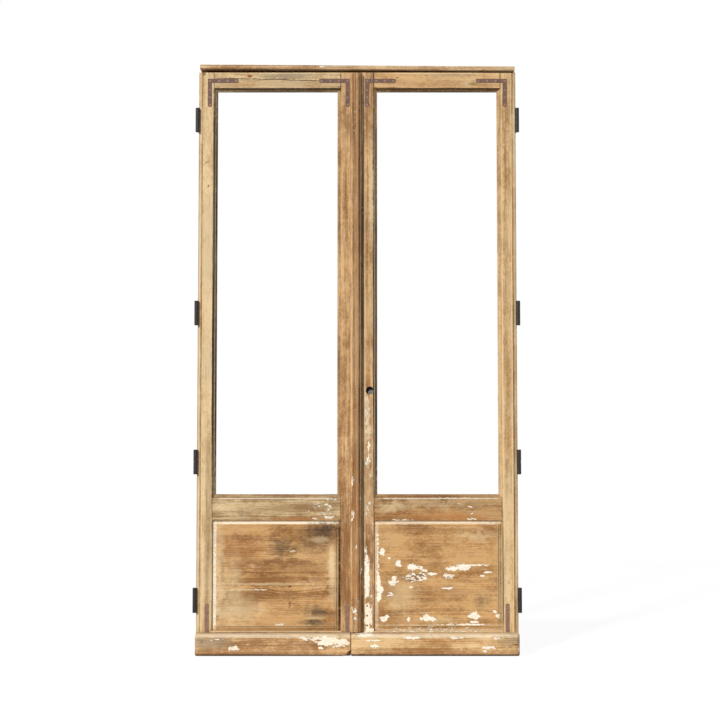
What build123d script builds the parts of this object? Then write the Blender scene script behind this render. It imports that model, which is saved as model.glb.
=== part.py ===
"""A pair of reclaimed pine french doors in their frame.

Two glazed leaves with a fielded panel at the foot hang on lift-off hinges in front of a plain frame
and open outwards. The right leaf is the active one: it carries the cover strip over the joint, and
the mortise lock. Millimetres. X runs to the right as seen from outside, Y runs into the house and
Z runs up. The origin is the centre of the threshold's underside.
"""

import os

from build123d import *

os.makedirs("parts", exist_ok=True)

LEFT = -1
RIGHT = 1
SIDE_NAMES = {LEFT: "left", RIGHT: "right"}

# The pair
pair_width = 1296.0
leaf_height = 2365.0
leaf_thickness = 42.0
floor_gap = 4.0
meeting_gap = 2.0
meeting_bevel = 2.0

# Stiles and rails, as wide as their flat faces
hinge_stile_face = 46.0
meeting_stile_face = 66.0
top_rail_face = 64.0
mid_rail_face = 91.0
mid_rail_low = 539.5
bottom_rail_face = 94.0
edge_strip_width = 16.0
edge_strip_arris = 1.2

# Moulding round the glass, and the rebate behind it
moulding_width = 14.0
moulding_step = 1.5
hollow_radius = 9.5
moulding_depth = 12.0
rebate_width = 12.0
rebate_depth = 22.0

# Mortise and tenon joints
tenon_thickness = 14.0
tenon_length = 38.0
tenon_shoulder = 15.0

# Fielded panel
groove_depth = 11.0
panel_play = 1.0
tongue_thickness = 10.0
tongue_recess = 10.0
bevel_width = 16.0
bevel_rise = 6.0
panel_step = 2.0
fillet_width = 6.0
panel_back_margin = 14.0
panel_back_rise = 8.0

# Cover strip over the joint
cover_lap = 29.0
cover_seat = 25.0
cover_thickness = 17.0
cover_top_gap = 5.0
cover_foot_gap = 2.0
lap_relief = 1.0
cover_band_width = 11.0
cover_band_drop = 9.0
cover_groove_width = 4.0
cover_groove_depth = 3.0
cover_flat_width = 15.0
cover_quirk_width = 3.5
cover_bead_radius = 4.5
cover_side_height = 6.0
cover_left_shoulder = (12.0, 15.0)
cover_right_shoulder = (8.0, 10.0)

# Drip boards
drip_height = 89.0
drip_projection = 45.0
drip_slope = 3.0
drip_joint = -25.0
drip_joint_gap = 2.0
drip_end_round = 12.0
drip_foot_round = 7.0
drip_inner_round = 2.5
drip_edge_round = 4.0
drip_groove_width = 6.0
drip_groove_depth = 5.0
drip_groove_setback = 12.0
chip_width = 32.0
chip_height = 25.0
chip_depth = 18.0

# Frame behind the leaves
frame_gap = 1.0
frame_depth = 70.0
jamb_lap = 50.0
head_height = 40.0
threshold_height = 40.0
frame_tenon_length = 20.0
frame_tenon_thickness = 24.0
frame_tenon_inset = 12.0
cap_gap = 5.5
cap_overhang = 14.0
cap_inset = 4.0
cap_height = 16.5
cap_tilt = 8.0
cap_arris = 1.6
wall_hole_radius = 4.5
wall_hole_heights = (480.0, 1880.0)
wall_hole_setback = 20.0

# Lift-off hinges
hinge_shares = (0.91611, 0.58114, 0.32609, 0.0918)
knuckle_radius = 8.75
knuckle_length = 50.0
knuckle_dome = 2.5
knuckle_gap = 1.0
hinge_axis_out = 5.0
hinge_axis_front = 6.0
pin_radius = 5.0
pin_clearance = 0.05
pin_reach = 38.0
pin_play = 1.0
flap_thickness = 3.0
flap_gap = 1.5
leaf_flap_width = 34.0
frame_flap_width = 40.0
flap_end_inset = 3.0
knuckle_notch_play = 0.8
knuckle_notch_end = 3.0
flap_screw_ends = 10.0

# Angle irons, let in flush
iron_width = 17.0
iron_thickness = 3.0
iron_proud = 0.6
top_iron_leg = 118.0
top_iron_arm = 126.0
bottom_iron_leg = 134.0
bottom_iron_arm = 120.0
iron_screw_corner = 9.0
iron_screw_first = 46.0
iron_screw_end = 10.0
outer_iron_setback = 35.0
inner_iron_setback = 30.0
top_iron_drop = 26.0
bottom_iron_drop = 24.0

# Wood screws
screw_head_radius = 4.2
screw_head_height = 2.4
screw_radius = 2.0
screw_length = 24.0
screw_slot_width = 0.9
screw_slot_depth = 0.7
screw_turn_step = 37.0

# Mortise lock
lock_height = 1064.0
lock_backset = 49.4
lock_hole_radius = 16.0
lock_case_thickness = 14.0
lock_case_height = 120.0
lock_case_wall = 1.5
lock_case_play = 0.2
forend_width = 24.0
forend_height = 190.0
forend_thickness = 3.0
bolt_thickness = 9.0
bolt_height = 30.0
bolt_length = 40.0
bolt_throw = 14.0
bolt_play = 0.3
bolt_inset = 0.4
strike_height = 100.0
strike_play = 1.0

# Levels and faces worked out from the sizes above
leaf_edge = pair_width / 2
meeting_edge = meeting_gap / 2
leaf_bottom = floor_gap
leaf_top = leaf_bottom + leaf_height
frame_front = -frame_depth / 2
frame_back = frame_depth / 2
leaf_back = frame_front - frame_gap
leaf_face = leaf_back - leaf_thickness
leaf_middle = (leaf_face + leaf_back) / 2
stile_edge = leaf_edge - edge_strip_width
hinge_shoulder = stile_edge - hinge_stile_face
meeting_shoulder = meeting_edge + meeting_stile_face
top_shoulder = leaf_top - top_rail_face
mid_top = mid_rail_low + mid_rail_face
bottom_shoulder = leaf_bottom + bottom_rail_face
bottom_iron_rise = bottom_rail_face - bottom_iron_drop
hinge_heights = tuple(round(leaf_bottom + leaf_height * share, 1) for share in hinge_shares)
light_inner = meeting_shoulder + moulding_width
light_outer = hinge_shoulder - moulding_width
light_bottom = mid_top + moulding_width
light_top = top_shoulder - moulding_width
hinge_x = leaf_edge + hinge_axis_out
hinge_y = leaf_face - hinge_axis_front
flap_inner = leaf_edge + flap_gap
jamb_outer = flap_inner + flap_thickness
jamb_inner = leaf_edge - jamb_lap
cap_under = leaf_top + cap_gap
head_under = cap_under - head_height
drip_top = leaf_bottom + drip_height
drip_front = leaf_face - drip_projection
edge_slope = meeting_bevel / leaf_thickness
forend_outer = meeting_edge + edge_slope * (leaf_thickness / 2 + forend_width / 2)
forend_inner = forend_outer + forend_thickness
lock_centre = meeting_edge + lock_backset
lock_case_end = lock_centre + lock_hole_radius + lock_case_wall


def block(x_range, y_range, z_range, mode=Mode.ADD):
    """A straight block between two places on each axis, whichever comes first."""
    spans = [sorted(x_range), sorted(y_range), sorted(z_range)]
    middle = tuple((low + high) / 2 for low, high in spans)
    with Locations(middle):
        Box(*(high - low for low, high in spans), mode=mode)


def front_outline(points, front, back, mode=Mode.ADD):
    """A flat shape, drawn as seen from outside, as thick as the two faces are apart."""
    with BuildSketch(Plane.XZ.offset(-back)) as outline:
        with BuildLine():
            Polyline(*points, close=True)
        make_face()
    extrude(outline.sketch, amount=back - front, mode=mode)


def save(piece, name):
    piece.part.label = name
    export_step(piece.part, f"parts/{name}.step")


def cut_moulding(plane, start, towards, reach):
    """Sticks a small step, a hollow and a flat lip on one edge, on a plane across the edge.

    The plane's first direction runs across the edge and its second one runs out of the face.
    """
    hollow_foot = moulding_step + hollow_radius
    corner = hollow_radius * (1 - 0.5**0.5)

    def at(across, depth):
        return (start + towards * across, -depth)

    with BuildSketch(plane) as profile:
        with BuildLine():
            Polyline(at(0, -1), at(0, moulding_step))
            ThreePointArc(
                at(0, moulding_step),
                at(corner, hollow_foot - corner),
                at(hollow_radius, hollow_foot),
            )
            Polyline(
                at(hollow_radius, hollow_foot),
                at(hollow_radius, moulding_depth),
                at(moulding_width + 1, moulding_depth),
                at(moulding_width + 1, -1),
                at(0, -1),
            )
        make_face()
    extrude(profile.sketch, amount=reach / 2, both=True, mode=Mode.SUBTRACT)


def upright_plane():
    """Across a stile: X to the right, and out of the face."""
    return Plane(origin=(0, leaf_face, (leaf_bottom + leaf_top) / 2), x_dir=(1, 0, 0), z_dir=(0, 0, -1))


def level_plane():
    """Across a rail: Z upwards, and out of the face."""
    return Plane(origin=(0, leaf_face, 0), x_dir=(0, 0, 1), z_dir=(1, 0, 0))


def cut_rebate(side):
    block(
        (side * (light_inner - rebate_width), side * (light_outer + rebate_width)),
        (leaf_back - rebate_depth, leaf_back),
        (light_bottom - rebate_width, light_top + rebate_width),
        mode=Mode.SUBTRACT,
    )


def cut_panel_groove(side):
    """The groove that the panel's tongue sits in, on all four sides."""
    block(
        (side * (meeting_shoulder - groove_depth), side * (hinge_shoulder + groove_depth)),
        (leaf_face + tongue_recess, leaf_face + tongue_recess + tongue_thickness),
        (bottom_shoulder - groove_depth, mid_rail_low + groove_depth),
        mode=Mode.SUBTRACT,
    )


def tenon_levels():
    """The lowest and highest levels of the tenons of the top, middle and bottom rails."""
    return (
        (top_shoulder + tenon_shoulder / 3, leaf_top - tenon_shoulder),
        (mid_rail_low + groove_depth + tenon_shoulder / 3, mid_top - tenon_shoulder),
        (leaf_bottom + tenon_shoulder, bottom_shoulder - groove_depth - tenon_shoulder / 3),
    )


def tenon_blocks(side, levels, mode=Mode.ADD):
    for shoulder, inwards in ((meeting_shoulder, -1), (hinge_shoulder, 1)):
        block(
            (side * shoulder, side * (shoulder + inwards * tenon_length)),
            (leaf_middle - tenon_thickness / 2, leaf_middle + tenon_thickness / 2),
            levels,
            mode=mode,
        )


def screw_shank(places, mode=Mode.ADD):
    with Locations(*places):
        with Locations((0, 0, -screw_head_height)):
            Cylinder(
                screw_radius,
                screw_length - screw_head_height,
                align=(Align.CENTER, Align.CENTER, Align.MAX),
                mode=mode,
            )


def screw_head(places, mode=Mode.ADD):
    with Locations(*places):
        Cone(
            screw_radius,
            screw_head_radius,
            screw_head_height,
            align=(Align.CENTER, Align.CENTER, Align.MAX),
            mode=mode,
        )


def cut_screws(places):
    """The countersunk holes that the screws fill."""
    screw_shank(places, mode=Mode.SUBTRACT)
    screw_head(places, mode=Mode.SUBTRACT)


def make_screws(places, name):
    with BuildPart() as screws:
        screw_shank(places)
        screw_head(places)
        with Locations(*places):
            Box(
                screw_head_radius * 2,
                screw_slot_width,
                screw_slot_depth * 2,
                mode=Mode.SUBTRACT,
            )
    save(screws, name)


def outward(x, y, z, direction, turn=0):
    """A screw's place: its head's top at a point, facing a direction, its slot turned."""
    plane = Plane(origin=(x, y, z), x_dir=(0, 0, 1), z_dir=direction)
    return plane.location * Location((0, 0, 0), (0, 0, turn))


# Angle irons: the outer corner of each, the ways its arm and leg run, and their lengths
def iron_corners(side):
    """The corner, the arm's and the leg's direction and length, and how far it stands proud."""
    outer = side * (leaf_edge - outer_iron_setback)
    inner = side * (meeting_edge + inner_iron_setback)
    top = leaf_top - top_iron_drop
    top_sizes = (top_iron_arm, top_iron_leg, iron_proud)
    bottom_sizes = (bottom_iron_arm, bottom_iron_leg, 0.0)
    return {
        "top_outer": ((outer, top), -side, -1, top_sizes),
        "top_inner": ((inner, top), side, -1, top_sizes),
        "bottom_outer": ((outer, leaf_bottom + bottom_iron_rise), -side, 1, bottom_sizes),
        "bottom_inner": ((inner, leaf_bottom + bottom_iron_rise), side, 1, bottom_sizes),
    }


def iron_outline(corner, across, along, sizes):
    x, z = corner
    arm, leg, _ = sizes
    tip = iron_width / 2
    return [
        (x, z),
        (x + across * arm, z),
        (x + across * (arm - 1), z + along * iron_width),
        (x + across * iron_width, z + along * iron_width),
        (x + across * iron_width, z + along * (leg - tip / 2)),
        (x + across * tip, z + along * leg),
        (x, z + along * (leg - tip / 2)),
    ]


def iron_screw_places(side):
    places = []
    middle = iron_width / 2
    for (x, z), across, along, (arm, leg, proud) in iron_corners(side).values():
        steps = [(iron_screw_corner, middle)]
        for length, flat in ((arm, True), (leg, False)):
            last = length - iron_screw_end
            for run in (iron_screw_first, (iron_screw_first + last) / 2, last):
                steps.append((run, middle) if flat else (middle, run))
        for number, (right, up) in enumerate(steps):
            spot = (x + across * right, leaf_face - proud, z + along * up)
            places.append(outward(*spot, (0, -1, 0), number * screw_turn_step))
    return places


def cut_irons(side):
    for corner, across, along, sizes in iron_corners(side).values():
        front_outline(
            iron_outline(corner, across, along, sizes),
            leaf_face - sizes[2],
            leaf_face - sizes[2] + iron_thickness,
            mode=Mode.SUBTRACT,
        )


def flap_screw_places(side, on_leaf):
    """Three screws in each hinge flap, pointing out of the leaf's edge or of the jamb's side."""
    places = []
    for height in hinge_heights:
        low, high = knuckle_levels(height, on_leaf)
        low += 0 if on_leaf else flap_end_inset
        high -= flap_end_inset if on_leaf else 0
        if on_leaf:
            x = leaf_edge
            near = leaf_face + flap_screw_ends
            far = leaf_face + leaf_flap_width - flap_screw_ends / 2
        else:
            x = jamb_outer
            near = frame_front + flap_screw_ends
            far = frame_front + frame_flap_width - flap_screw_ends / 2
        spots = (
            (near, low + flap_screw_ends),
            (near, high - flap_screw_ends),
            (far, (low + high) / 2),
        )
        for number, (y, z) in enumerate(spots):
            places.append(outward(side * x, y, z, (side, 0, 0), number * screw_turn_step))
    return places


def knuckle_levels(height, on_leaf):
    """The leaf's knuckle is the upper one, and it lifts off the frame's."""
    if on_leaf:
        return height + knuckle_gap / 2, height + knuckle_length
    return height - knuckle_length, height - knuckle_gap / 2


def cut_hinge_seats(side):
    """Round notches for the barrels, and the shallow seats of the leaf's flaps."""
    for height in hinge_heights:
        with Locations((side * hinge_x, hinge_y, height)):
            Cylinder(
                knuckle_radius + knuckle_notch_play,
                2 * (knuckle_length + knuckle_notch_end),
                mode=Mode.SUBTRACT,
            )
        low, high = knuckle_levels(height, True)
        block(
            (side * (leaf_edge - flap_thickness), side * (leaf_edge + 1)),
            (leaf_face - 1, leaf_face + leaf_flap_width),
            (low, high - flap_end_inset),
            mode=Mode.SUBTRACT,
        )


def make_hinge_half(side, height, on_leaf, name):
    """A knuckle with its domed end, the bore for the pin, and a flap with three holes."""
    low, high = knuckle_levels(height, on_leaf)
    bore = pin_radius + (pin_clearance if on_leaf else 0)
    with BuildPart() as half:
        with Locations((side * hinge_x, hinge_y, (low + high) / 2)):
            Cylinder(knuckle_radius, high - low)
        end = half.faces().sort_by(Axis.Z)[-1 if on_leaf else 0]
        fillet(end.edges(), knuckle_dome)
        if on_leaf:
            span = (low, high - flap_end_inset)
            block(
                (side * (leaf_edge - flap_thickness), side * leaf_edge),
                (hinge_y, leaf_face + leaf_flap_width),
                span,
            )
        else:
            span = (low + flap_end_inset, high)
            block(
                (side * flap_inner, side * jamb_outer),
                (hinge_y, frame_front + frame_flap_width),
                span,
            )
        reach = pin_reach + (pin_play if on_leaf else 0)
        bore_span = (height, height + reach) if on_leaf else (height - reach, height)
        with Locations((side * hinge_x, hinge_y, sum(bore_span) / 2)):
            Cylinder(bore, reach, mode=Mode.SUBTRACT)
        cut_screws(flap_screw_places(side, on_leaf))
    save(half, name)


def make_hinge_pins():
    with BuildPart() as pins:
        for side in (LEFT, RIGHT):
            for height in hinge_heights:
                with Locations((side * hinge_x, hinge_y, height)):
                    Cylinder(pin_radius, 2 * pin_reach)
    save(pins, "hinge_pins")





def make_hinge_stile(side):
    with BuildPart() as stile:
        front_outline(
            [
                (side * stile_edge, leaf_bottom),
                (side * stile_edge, leaf_top),
                (side * hinge_shoulder, leaf_top),
                (side * hinge_shoulder, top_shoulder),
                (side * light_outer, light_top),
                (side * light_outer, light_bottom),
                (side * hinge_shoulder, mid_top),
                (side * hinge_shoulder, leaf_bottom),
            ],
            leaf_face,
            leaf_back,
        )
        cut_rebate(side)
        cut_moulding(upright_plane(), side * hinge_shoulder, -side, 2 * leaf_height)
        cut_panel_groove(side)
        for levels in tenon_levels():
            tenon_blocks(side, levels, mode=Mode.SUBTRACT)
        cut_irons(side)
        screw_shank(iron_screw_places(side), mode=Mode.SUBTRACT)
        screw_shank(flap_screw_places(side, True), mode=Mode.SUBTRACT)
        outer_arris = stile.edges().filter_by(Axis.Z).filter_by_position(
            Axis.X, side * stile_edge - 0.01, side * stile_edge + 0.01
        )
        chamfer(outer_arris.sort_by(Axis.Y)[0], edge_strip_arris)
    save(stile, f"{SIDE_NAMES[side]}_hinge_stile")


def make_edge_strip(side):
    with BuildPart() as strip:
        block((side * stile_edge, side * leaf_edge), (leaf_face, leaf_back), (leaf_bottom, leaf_top))
        inner_arris = strip.edges().filter_by(Axis.Z).group_by(Axis.X)[0 if side > 0 else -1]
        chamfer(inner_arris.sort_by(Axis.Y)[0], edge_strip_arris)
        cut_hinge_seats(side)
        screw_shank(flap_screw_places(side, True), mode=Mode.SUBTRACT)
    save(strip, f"{SIDE_NAMES[side]}_edge_strip")


def cut_lock_pocket():
    """The mortise for the lock case and forend, and the round hole in front of it."""
    block(
        (0, lock_case_end + lock_case_play),
        (
            leaf_middle - lock_case_thickness / 2 - lock_case_play,
            leaf_middle + lock_case_thickness / 2 + lock_case_play,
        ),
        (
            lock_height - lock_case_height / 2 - lock_case_play,
            lock_height + lock_case_height / 2 + lock_case_play,
        ),
        mode=Mode.SUBTRACT,
    )
    cut_edge_plate(RIGHT, forend_height, forend_inner)
    front = Plane(origin=(lock_centre, leaf_middle, lock_height), x_dir=(1, 0, 0), z_dir=(0, -1, 0))
    with Locations(front):
        Cylinder(
            lock_hole_radius,
            leaf_thickness,
            align=(Align.CENTER, Align.CENTER, Align.MIN),
            mode=Mode.SUBTRACT,
        )


def cut_edge_plate(side, height, depth):
    """The shallow seat of a plate in the meeting edge."""
    block(
        (0, side * depth),
        (leaf_middle - forend_width / 2, leaf_middle + forend_width / 2),
        (lock_height - height / 2, lock_height + height / 2),
        mode=Mode.SUBTRACT,
    )


def cut_bolt_window(side, depth, play):
    block(
        (0, side * depth),
        (leaf_middle - bolt_thickness / 2 - play, leaf_middle + bolt_thickness / 2 + play),
        (lock_height - bolt_height / 2 - play, lock_height + bolt_height / 2 + play),
        mode=Mode.SUBTRACT,
    )


def edge_screw_places(side, height):
    places = []
    for end in (-1, 1):
        z = lock_height + end * (height / 2 - screw_head_radius * 2)
        places.append(outward(side * forend_outer, leaf_middle, z, (-side, 0, 0), end * screw_turn_step))
    return places


def make_meeting_stile(side):
    with BuildPart() as stile:
        front_outline(
            [
                (side * meeting_edge, leaf_bottom),
                (side * meeting_edge, leaf_top),
                (side * meeting_shoulder, leaf_top),
                (side * meeting_shoulder, top_shoulder),
                (side * light_inner, light_top),
                (side * light_inner, light_bottom),
                (side * meeting_shoulder, mid_top),
                (side * meeting_shoulder, leaf_bottom),
            ],
            leaf_face,
            leaf_back,
        )
        with BuildSketch(Plane.XY.offset(leaf_bottom)):
            with BuildLine():
                Polyline(
                    (side * meeting_edge, leaf_face),
                    (side * (meeting_edge + meeting_bevel), leaf_back),
                    (side * meeting_edge, leaf_back),
                    close=True,
                )
            make_face()
        extrude(amount=leaf_height, mode=Mode.SUBTRACT)
        cut_rebate(side)
        cut_moulding(upright_plane(), side * meeting_shoulder, side, 2 * leaf_height)
        cut_panel_groove(side)
        for levels in tenon_levels():
            tenon_blocks(side, levels, mode=Mode.SUBTRACT)
        cut_irons(side)
        screw_shank(iron_screw_places(side), mode=Mode.SUBTRACT)
        if side == RIGHT:
            cut_lock_pocket()
            screw_shank(edge_screw_places(RIGHT, forend_height), mode=Mode.SUBTRACT)
        else:
            cut_edge_plate(LEFT, strike_height, forend_inner)
            cut_bolt_window(LEFT, bolt_throw + strike_play, strike_play)
            screw_shank(edge_screw_places(LEFT, strike_height), mode=Mode.SUBTRACT)
    save(stile, f"{SIDE_NAMES[side]}_meeting_stile")


def make_top_rail(side):
    with BuildPart() as rail:
        front_outline(
            [
                (side * meeting_shoulder, top_shoulder),
                (side * light_inner, light_top),
                (side * light_outer, light_top),
                (side * hinge_shoulder, top_shoulder),
                (side * hinge_shoulder, leaf_top),
                (side * meeting_shoulder, leaf_top),
            ],
            leaf_face,
            leaf_back,
        )
        cut_moulding(level_plane(), top_shoulder, -1, 2 * pair_width)
        cut_rebate(side)
        tenon_blocks(side, tenon_levels()[0])
        cut_irons(side)
        screw_shank(iron_screw_places(side), mode=Mode.SUBTRACT)
    save(rail, f"{SIDE_NAMES[side]}_top_rail")


def make_mid_rail(side):
    with BuildPart() as rail:
        front_outline(
            [
                (side * meeting_shoulder, mid_rail_low),
                (side * meeting_shoulder, mid_top),
                (side * light_inner, light_bottom),
                (side * light_outer, light_bottom),
                (side * hinge_shoulder, mid_top),
                (side * hinge_shoulder, mid_rail_low),
            ],
            leaf_face,
            leaf_back,
        )
        cut_moulding(level_plane(), mid_top, 1, 2 * pair_width)
        cut_rebate(side)
        cut_panel_groove(side)
        tenon_blocks(side, tenon_levels()[1])
    save(rail, f"{SIDE_NAMES[side]}_mid_rail")


def make_bottom_rail(side):
    with BuildPart() as rail:
        block(
            (side * meeting_shoulder, side * hinge_shoulder),
            (leaf_face, leaf_back),
            (leaf_bottom, bottom_shoulder),
        )
        cut_panel_groove(side)
        tenon_blocks(side, tenon_levels()[2])
        cut_irons(side)
        screw_shank(iron_screw_places(side), mode=Mode.SUBTRACT)
    save(rail, f"{SIDE_NAMES[side]}_bottom_rail")


def panel_frame(side, margin):
    """The width, the height and the centre of a part of the panel that lies inside its frame."""
    width = hinge_shoulder - meeting_shoulder - 2 * margin
    height = mid_rail_low - bottom_shoulder - 2 * margin
    centre = (side * (hinge_shoulder + meeting_shoulder) / 2, (mid_rail_low + bottom_shoulder) / 2)
    return width, height, centre


def panel_rectangle(side, margin, depth):
    width, height, centre = panel_frame(side, margin)
    with BuildSketch(Plane.XZ.offset(-(leaf_face + depth))) as rectangle:
        with Locations(centre):
            Rectangle(width, height)
    return rectangle.sketch


def make_panel(side):
    """Tongue, sloping margin, a small step, a fillet, and the raised field."""
    bevel_depth = tongue_recess
    step_depth = bevel_depth - bevel_rise
    fillet_depth = step_depth - panel_step
    back_depth = bevel_depth + tongue_thickness
    with BuildPart() as panel:
        extrude(panel_rectangle(side, panel_play - groove_depth, back_depth), amount=tongue_thickness)
        loft([panel_rectangle(side, 0, bevel_depth), panel_rectangle(side, bevel_width, step_depth)])
        extrude(panel_rectangle(side, bevel_width, step_depth), amount=panel_step)
        field = panel_rectangle(side, bevel_width + fillet_width, fillet_depth)
        extrude(field, amount=panel_step)
        loft(
            [
                panel_rectangle(side, panel_back_margin, back_depth),
                panel_rectangle(side, 2 * panel_back_margin, back_depth + panel_back_rise),
            ]
        )
    save(panel, f"{SIDE_NAMES[side]}_panel")


def make_angle_irons(side):
    screws = iron_screw_places(side)
    for place, (corner, across, along, sizes) in iron_corners(side).items():
        with BuildPart() as iron:
            front_outline(
                iron_outline(corner, across, along, sizes),
                leaf_face - sizes[2],
                leaf_face - sizes[2] + iron_thickness,
            )
            cut_screws(screws)
        save(iron, f"{SIDE_NAMES[side]}_angle_iron_{place}")
    make_screws(screws, f"{SIDE_NAMES[side]}_angle_iron_screws")


def make_cover_strip():
    """Bevelled band, groove, flat, quirk and bead, hollowed where it laps the other leaf."""
    back = leaf_face
    front = back - cover_thickness
    left = -cover_lap
    band_end = left + cover_band_width
    groove_end = band_end + cover_groove_width
    flat_end = groove_end + cover_flat_width
    bead_start = flat_end + cover_quirk_width
    bead_end = bead_start + 2 * cover_bead_radius
    bead_level = front + cover_bead_radius
    bend = cover_band_width * (1 - 0.5**0.5)
    rise = cover_band_drop * 0.5**0.5
    foot = drip_top + cover_foot_gap
    length = leaf_top - cover_top_gap - foot
    with BuildPart() as strip:
        with BuildSketch(Plane.XY.offset(foot)):
            with BuildLine():
                Polyline(
                    (meeting_edge, back),
                    (meeting_edge, back - lap_relief),
                    (left, back - lap_relief),
                    (left, front + cover_band_drop),
                )
                ThreePointArc(
                    (left, front + cover_band_drop),
                    (left + bend, front + cover_band_drop - rise),
                    (band_end, front),
                )
                Polyline(
                    (band_end, front),
                    (band_end, front + cover_groove_depth),
                    (groove_end, front + cover_groove_depth),
                    (groove_end, front),
                    (flat_end, front),
                    (flat_end, bead_level),
                    (bead_start, bead_level),
                )
                ThreePointArc(
                    (bead_start, bead_level),
                    (bead_start + cover_bead_radius, front),
                    (bead_end, bead_level),
                )
                Polyline((bead_end, bead_level), (cover_seat, back - cover_side_height), (cover_seat, back))
                Line((cover_seat, back), (meeting_edge, back))
            make_face()
        extrude(amount=length)
        top = foot + length
        shoulders = (
            (left, 1, cover_left_shoulder),
            (cover_seat, -1, cover_right_shoulder),
        )
        for side_x, inwards, (wide, high) in shoulders:
            front_outline(
                [(side_x, top - high), (side_x, top), (side_x + inwards * wide, top)],
                front,
                back,
                mode=Mode.SUBTRACT,
            )
    save(strip, "cover_strip")


def make_drip_board(side):
    """A thick board with a sloping top, a drip groove under it, and rounded end corners."""
    inner = drip_joint + side * drip_joint_gap / 2
    outer = side * leaf_edge
    low_x, high_x = sorted((inner, outer))
    with BuildPart() as board:
        with BuildSketch(Plane.YZ.offset(low_x)):
            with BuildLine():
                Polyline(
                    (leaf_face, leaf_bottom),
                    (leaf_face, drip_top),
                    (drip_front, drip_top - drip_slope),
                    (drip_front, leaf_bottom),
                    close=True,
                )
            make_face()
        extrude(amount=high_x - low_x)
        lower_ends = board.edges().filter_by(Axis.Y).group_by(Axis.Z)[0].sort_by(Axis.X)
        fillet(lower_ends[-1 if side == RIGHT else 0], drip_foot_round)
        corners = board.edges().filter_by(Axis.Z).group_by(Axis.Y)[0].sort_by(Axis.X)
        fillet(corners[-1 if side == RIGHT else 0], drip_end_round)
        front_corner = board.edges().filter_by(Axis.Z).filter_by_position(
            Axis.X, inner - 0.01, inner + 0.01
        )
        fillet(front_corner.sort_by(Axis.Y)[0], drip_inner_round)
        fillet(board.faces().sort_by(Axis.Y)[0].edges().filter_by(Axis.X), drip_edge_round)
        groove_front = drip_front + drip_groove_setback
        block(
            (low_x - 1, high_x + 1),
            (groove_front, groove_front + drip_groove_width),
            (leaf_bottom - 1, leaf_bottom + drip_groove_depth),
            mode=Mode.SUBTRACT,
        )
        if side == RIGHT:
            block(
                (inner - 1, meeting_edge),
                (leaf_face - lap_relief, leaf_face + 1),
                (leaf_bottom - 1, drip_top + 1),
                mode=Mode.SUBTRACT,
            )
        else:
            front_outline(
                [
                    (inner - chip_width, leaf_bottom - 1),
                    (inner - chip_width * 0.9, leaf_bottom + chip_height * 0.2),
                    (inner - chip_width * 0.5, leaf_bottom + chip_height * 0.32),
                    (inner - chip_width * 0.35, leaf_bottom + chip_height * 0.8),
                    (inner + 1, leaf_bottom + chip_height),
                    (inner + 1, leaf_bottom - 1),
                ],
                drip_front - 1,
                drip_front + chip_depth,
                mode=Mode.SUBTRACT,
            )
    save(board, f"{SIDE_NAMES[side]}_drip_board")


def make_lock():
    """The case with the bolt's room in it, the forend, the dead bolt and the strike plate."""
    case_y = (leaf_middle - lock_case_thickness / 2, leaf_middle + lock_case_thickness / 2)
    case_z = (lock_height - lock_case_height / 2, lock_height + lock_case_height / 2)
    with BuildPart() as case:
        block((forend_inner, lock_case_end), case_y, case_z)
        block(
            (forend_inner + lock_case_wall, lock_case_end - lock_case_wall),
            (case_y[0] + lock_case_wall, case_y[1] - lock_case_wall),
            (case_z[0] + lock_case_wall, case_z[1] - lock_case_wall),
            mode=Mode.SUBTRACT,
        )
        cut_bolt_window(RIGHT, forend_inner + 2 * lock_case_wall, bolt_play)
    save(case, "lock_case")

    with BuildPart() as forend:
        block(
            (forend_outer, forend_inner),
            (leaf_middle - forend_width / 2, leaf_middle + forend_width / 2),
            (lock_height - forend_height / 2, lock_height + forend_height / 2),
        )
        cut_bolt_window(RIGHT, forend_inner + 1, bolt_play)
        cut_screws(edge_screw_places(RIGHT, forend_height))
    save(forend, "lock_forend")
    make_screws(edge_screw_places(RIGHT, forend_height), "lock_forend_screws")

    with BuildPart() as bolt:
        tip = forend_outer + bolt_inset
        block(
            (tip, tip + bolt_length),
            (leaf_middle - bolt_thickness / 2, leaf_middle + bolt_thickness / 2),
            (lock_height - bolt_height / 2, lock_height + bolt_height / 2),
        )
        chamfer(bolt.faces().sort_by(Axis.X)[0].edges(), bolt_inset)
    save(bolt, "lock_bolt")

    with BuildPart() as strike:
        block(
            (-forend_outer, -forend_inner),
            (leaf_middle - forend_width / 2, leaf_middle + forend_width / 2),
            (lock_height - strike_height / 2, lock_height + strike_height / 2),
        )
        cut_bolt_window(LEFT, forend_inner + 1, strike_play)
        cut_screws(edge_screw_places(LEFT, strike_height))
    save(strike, "strike_plate")
    make_screws(edge_screw_places(LEFT, strike_height), "strike_plate_screws")


def frame_tenon(side, levels, mode=Mode.ADD):
    block(
        (side * (jamb_inner + frame_tenon_inset), side * (jamb_outer - frame_tenon_inset)),
        (-frame_tenon_thickness / 2, frame_tenon_thickness / 2),
        levels,
        mode=mode,
    )


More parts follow.
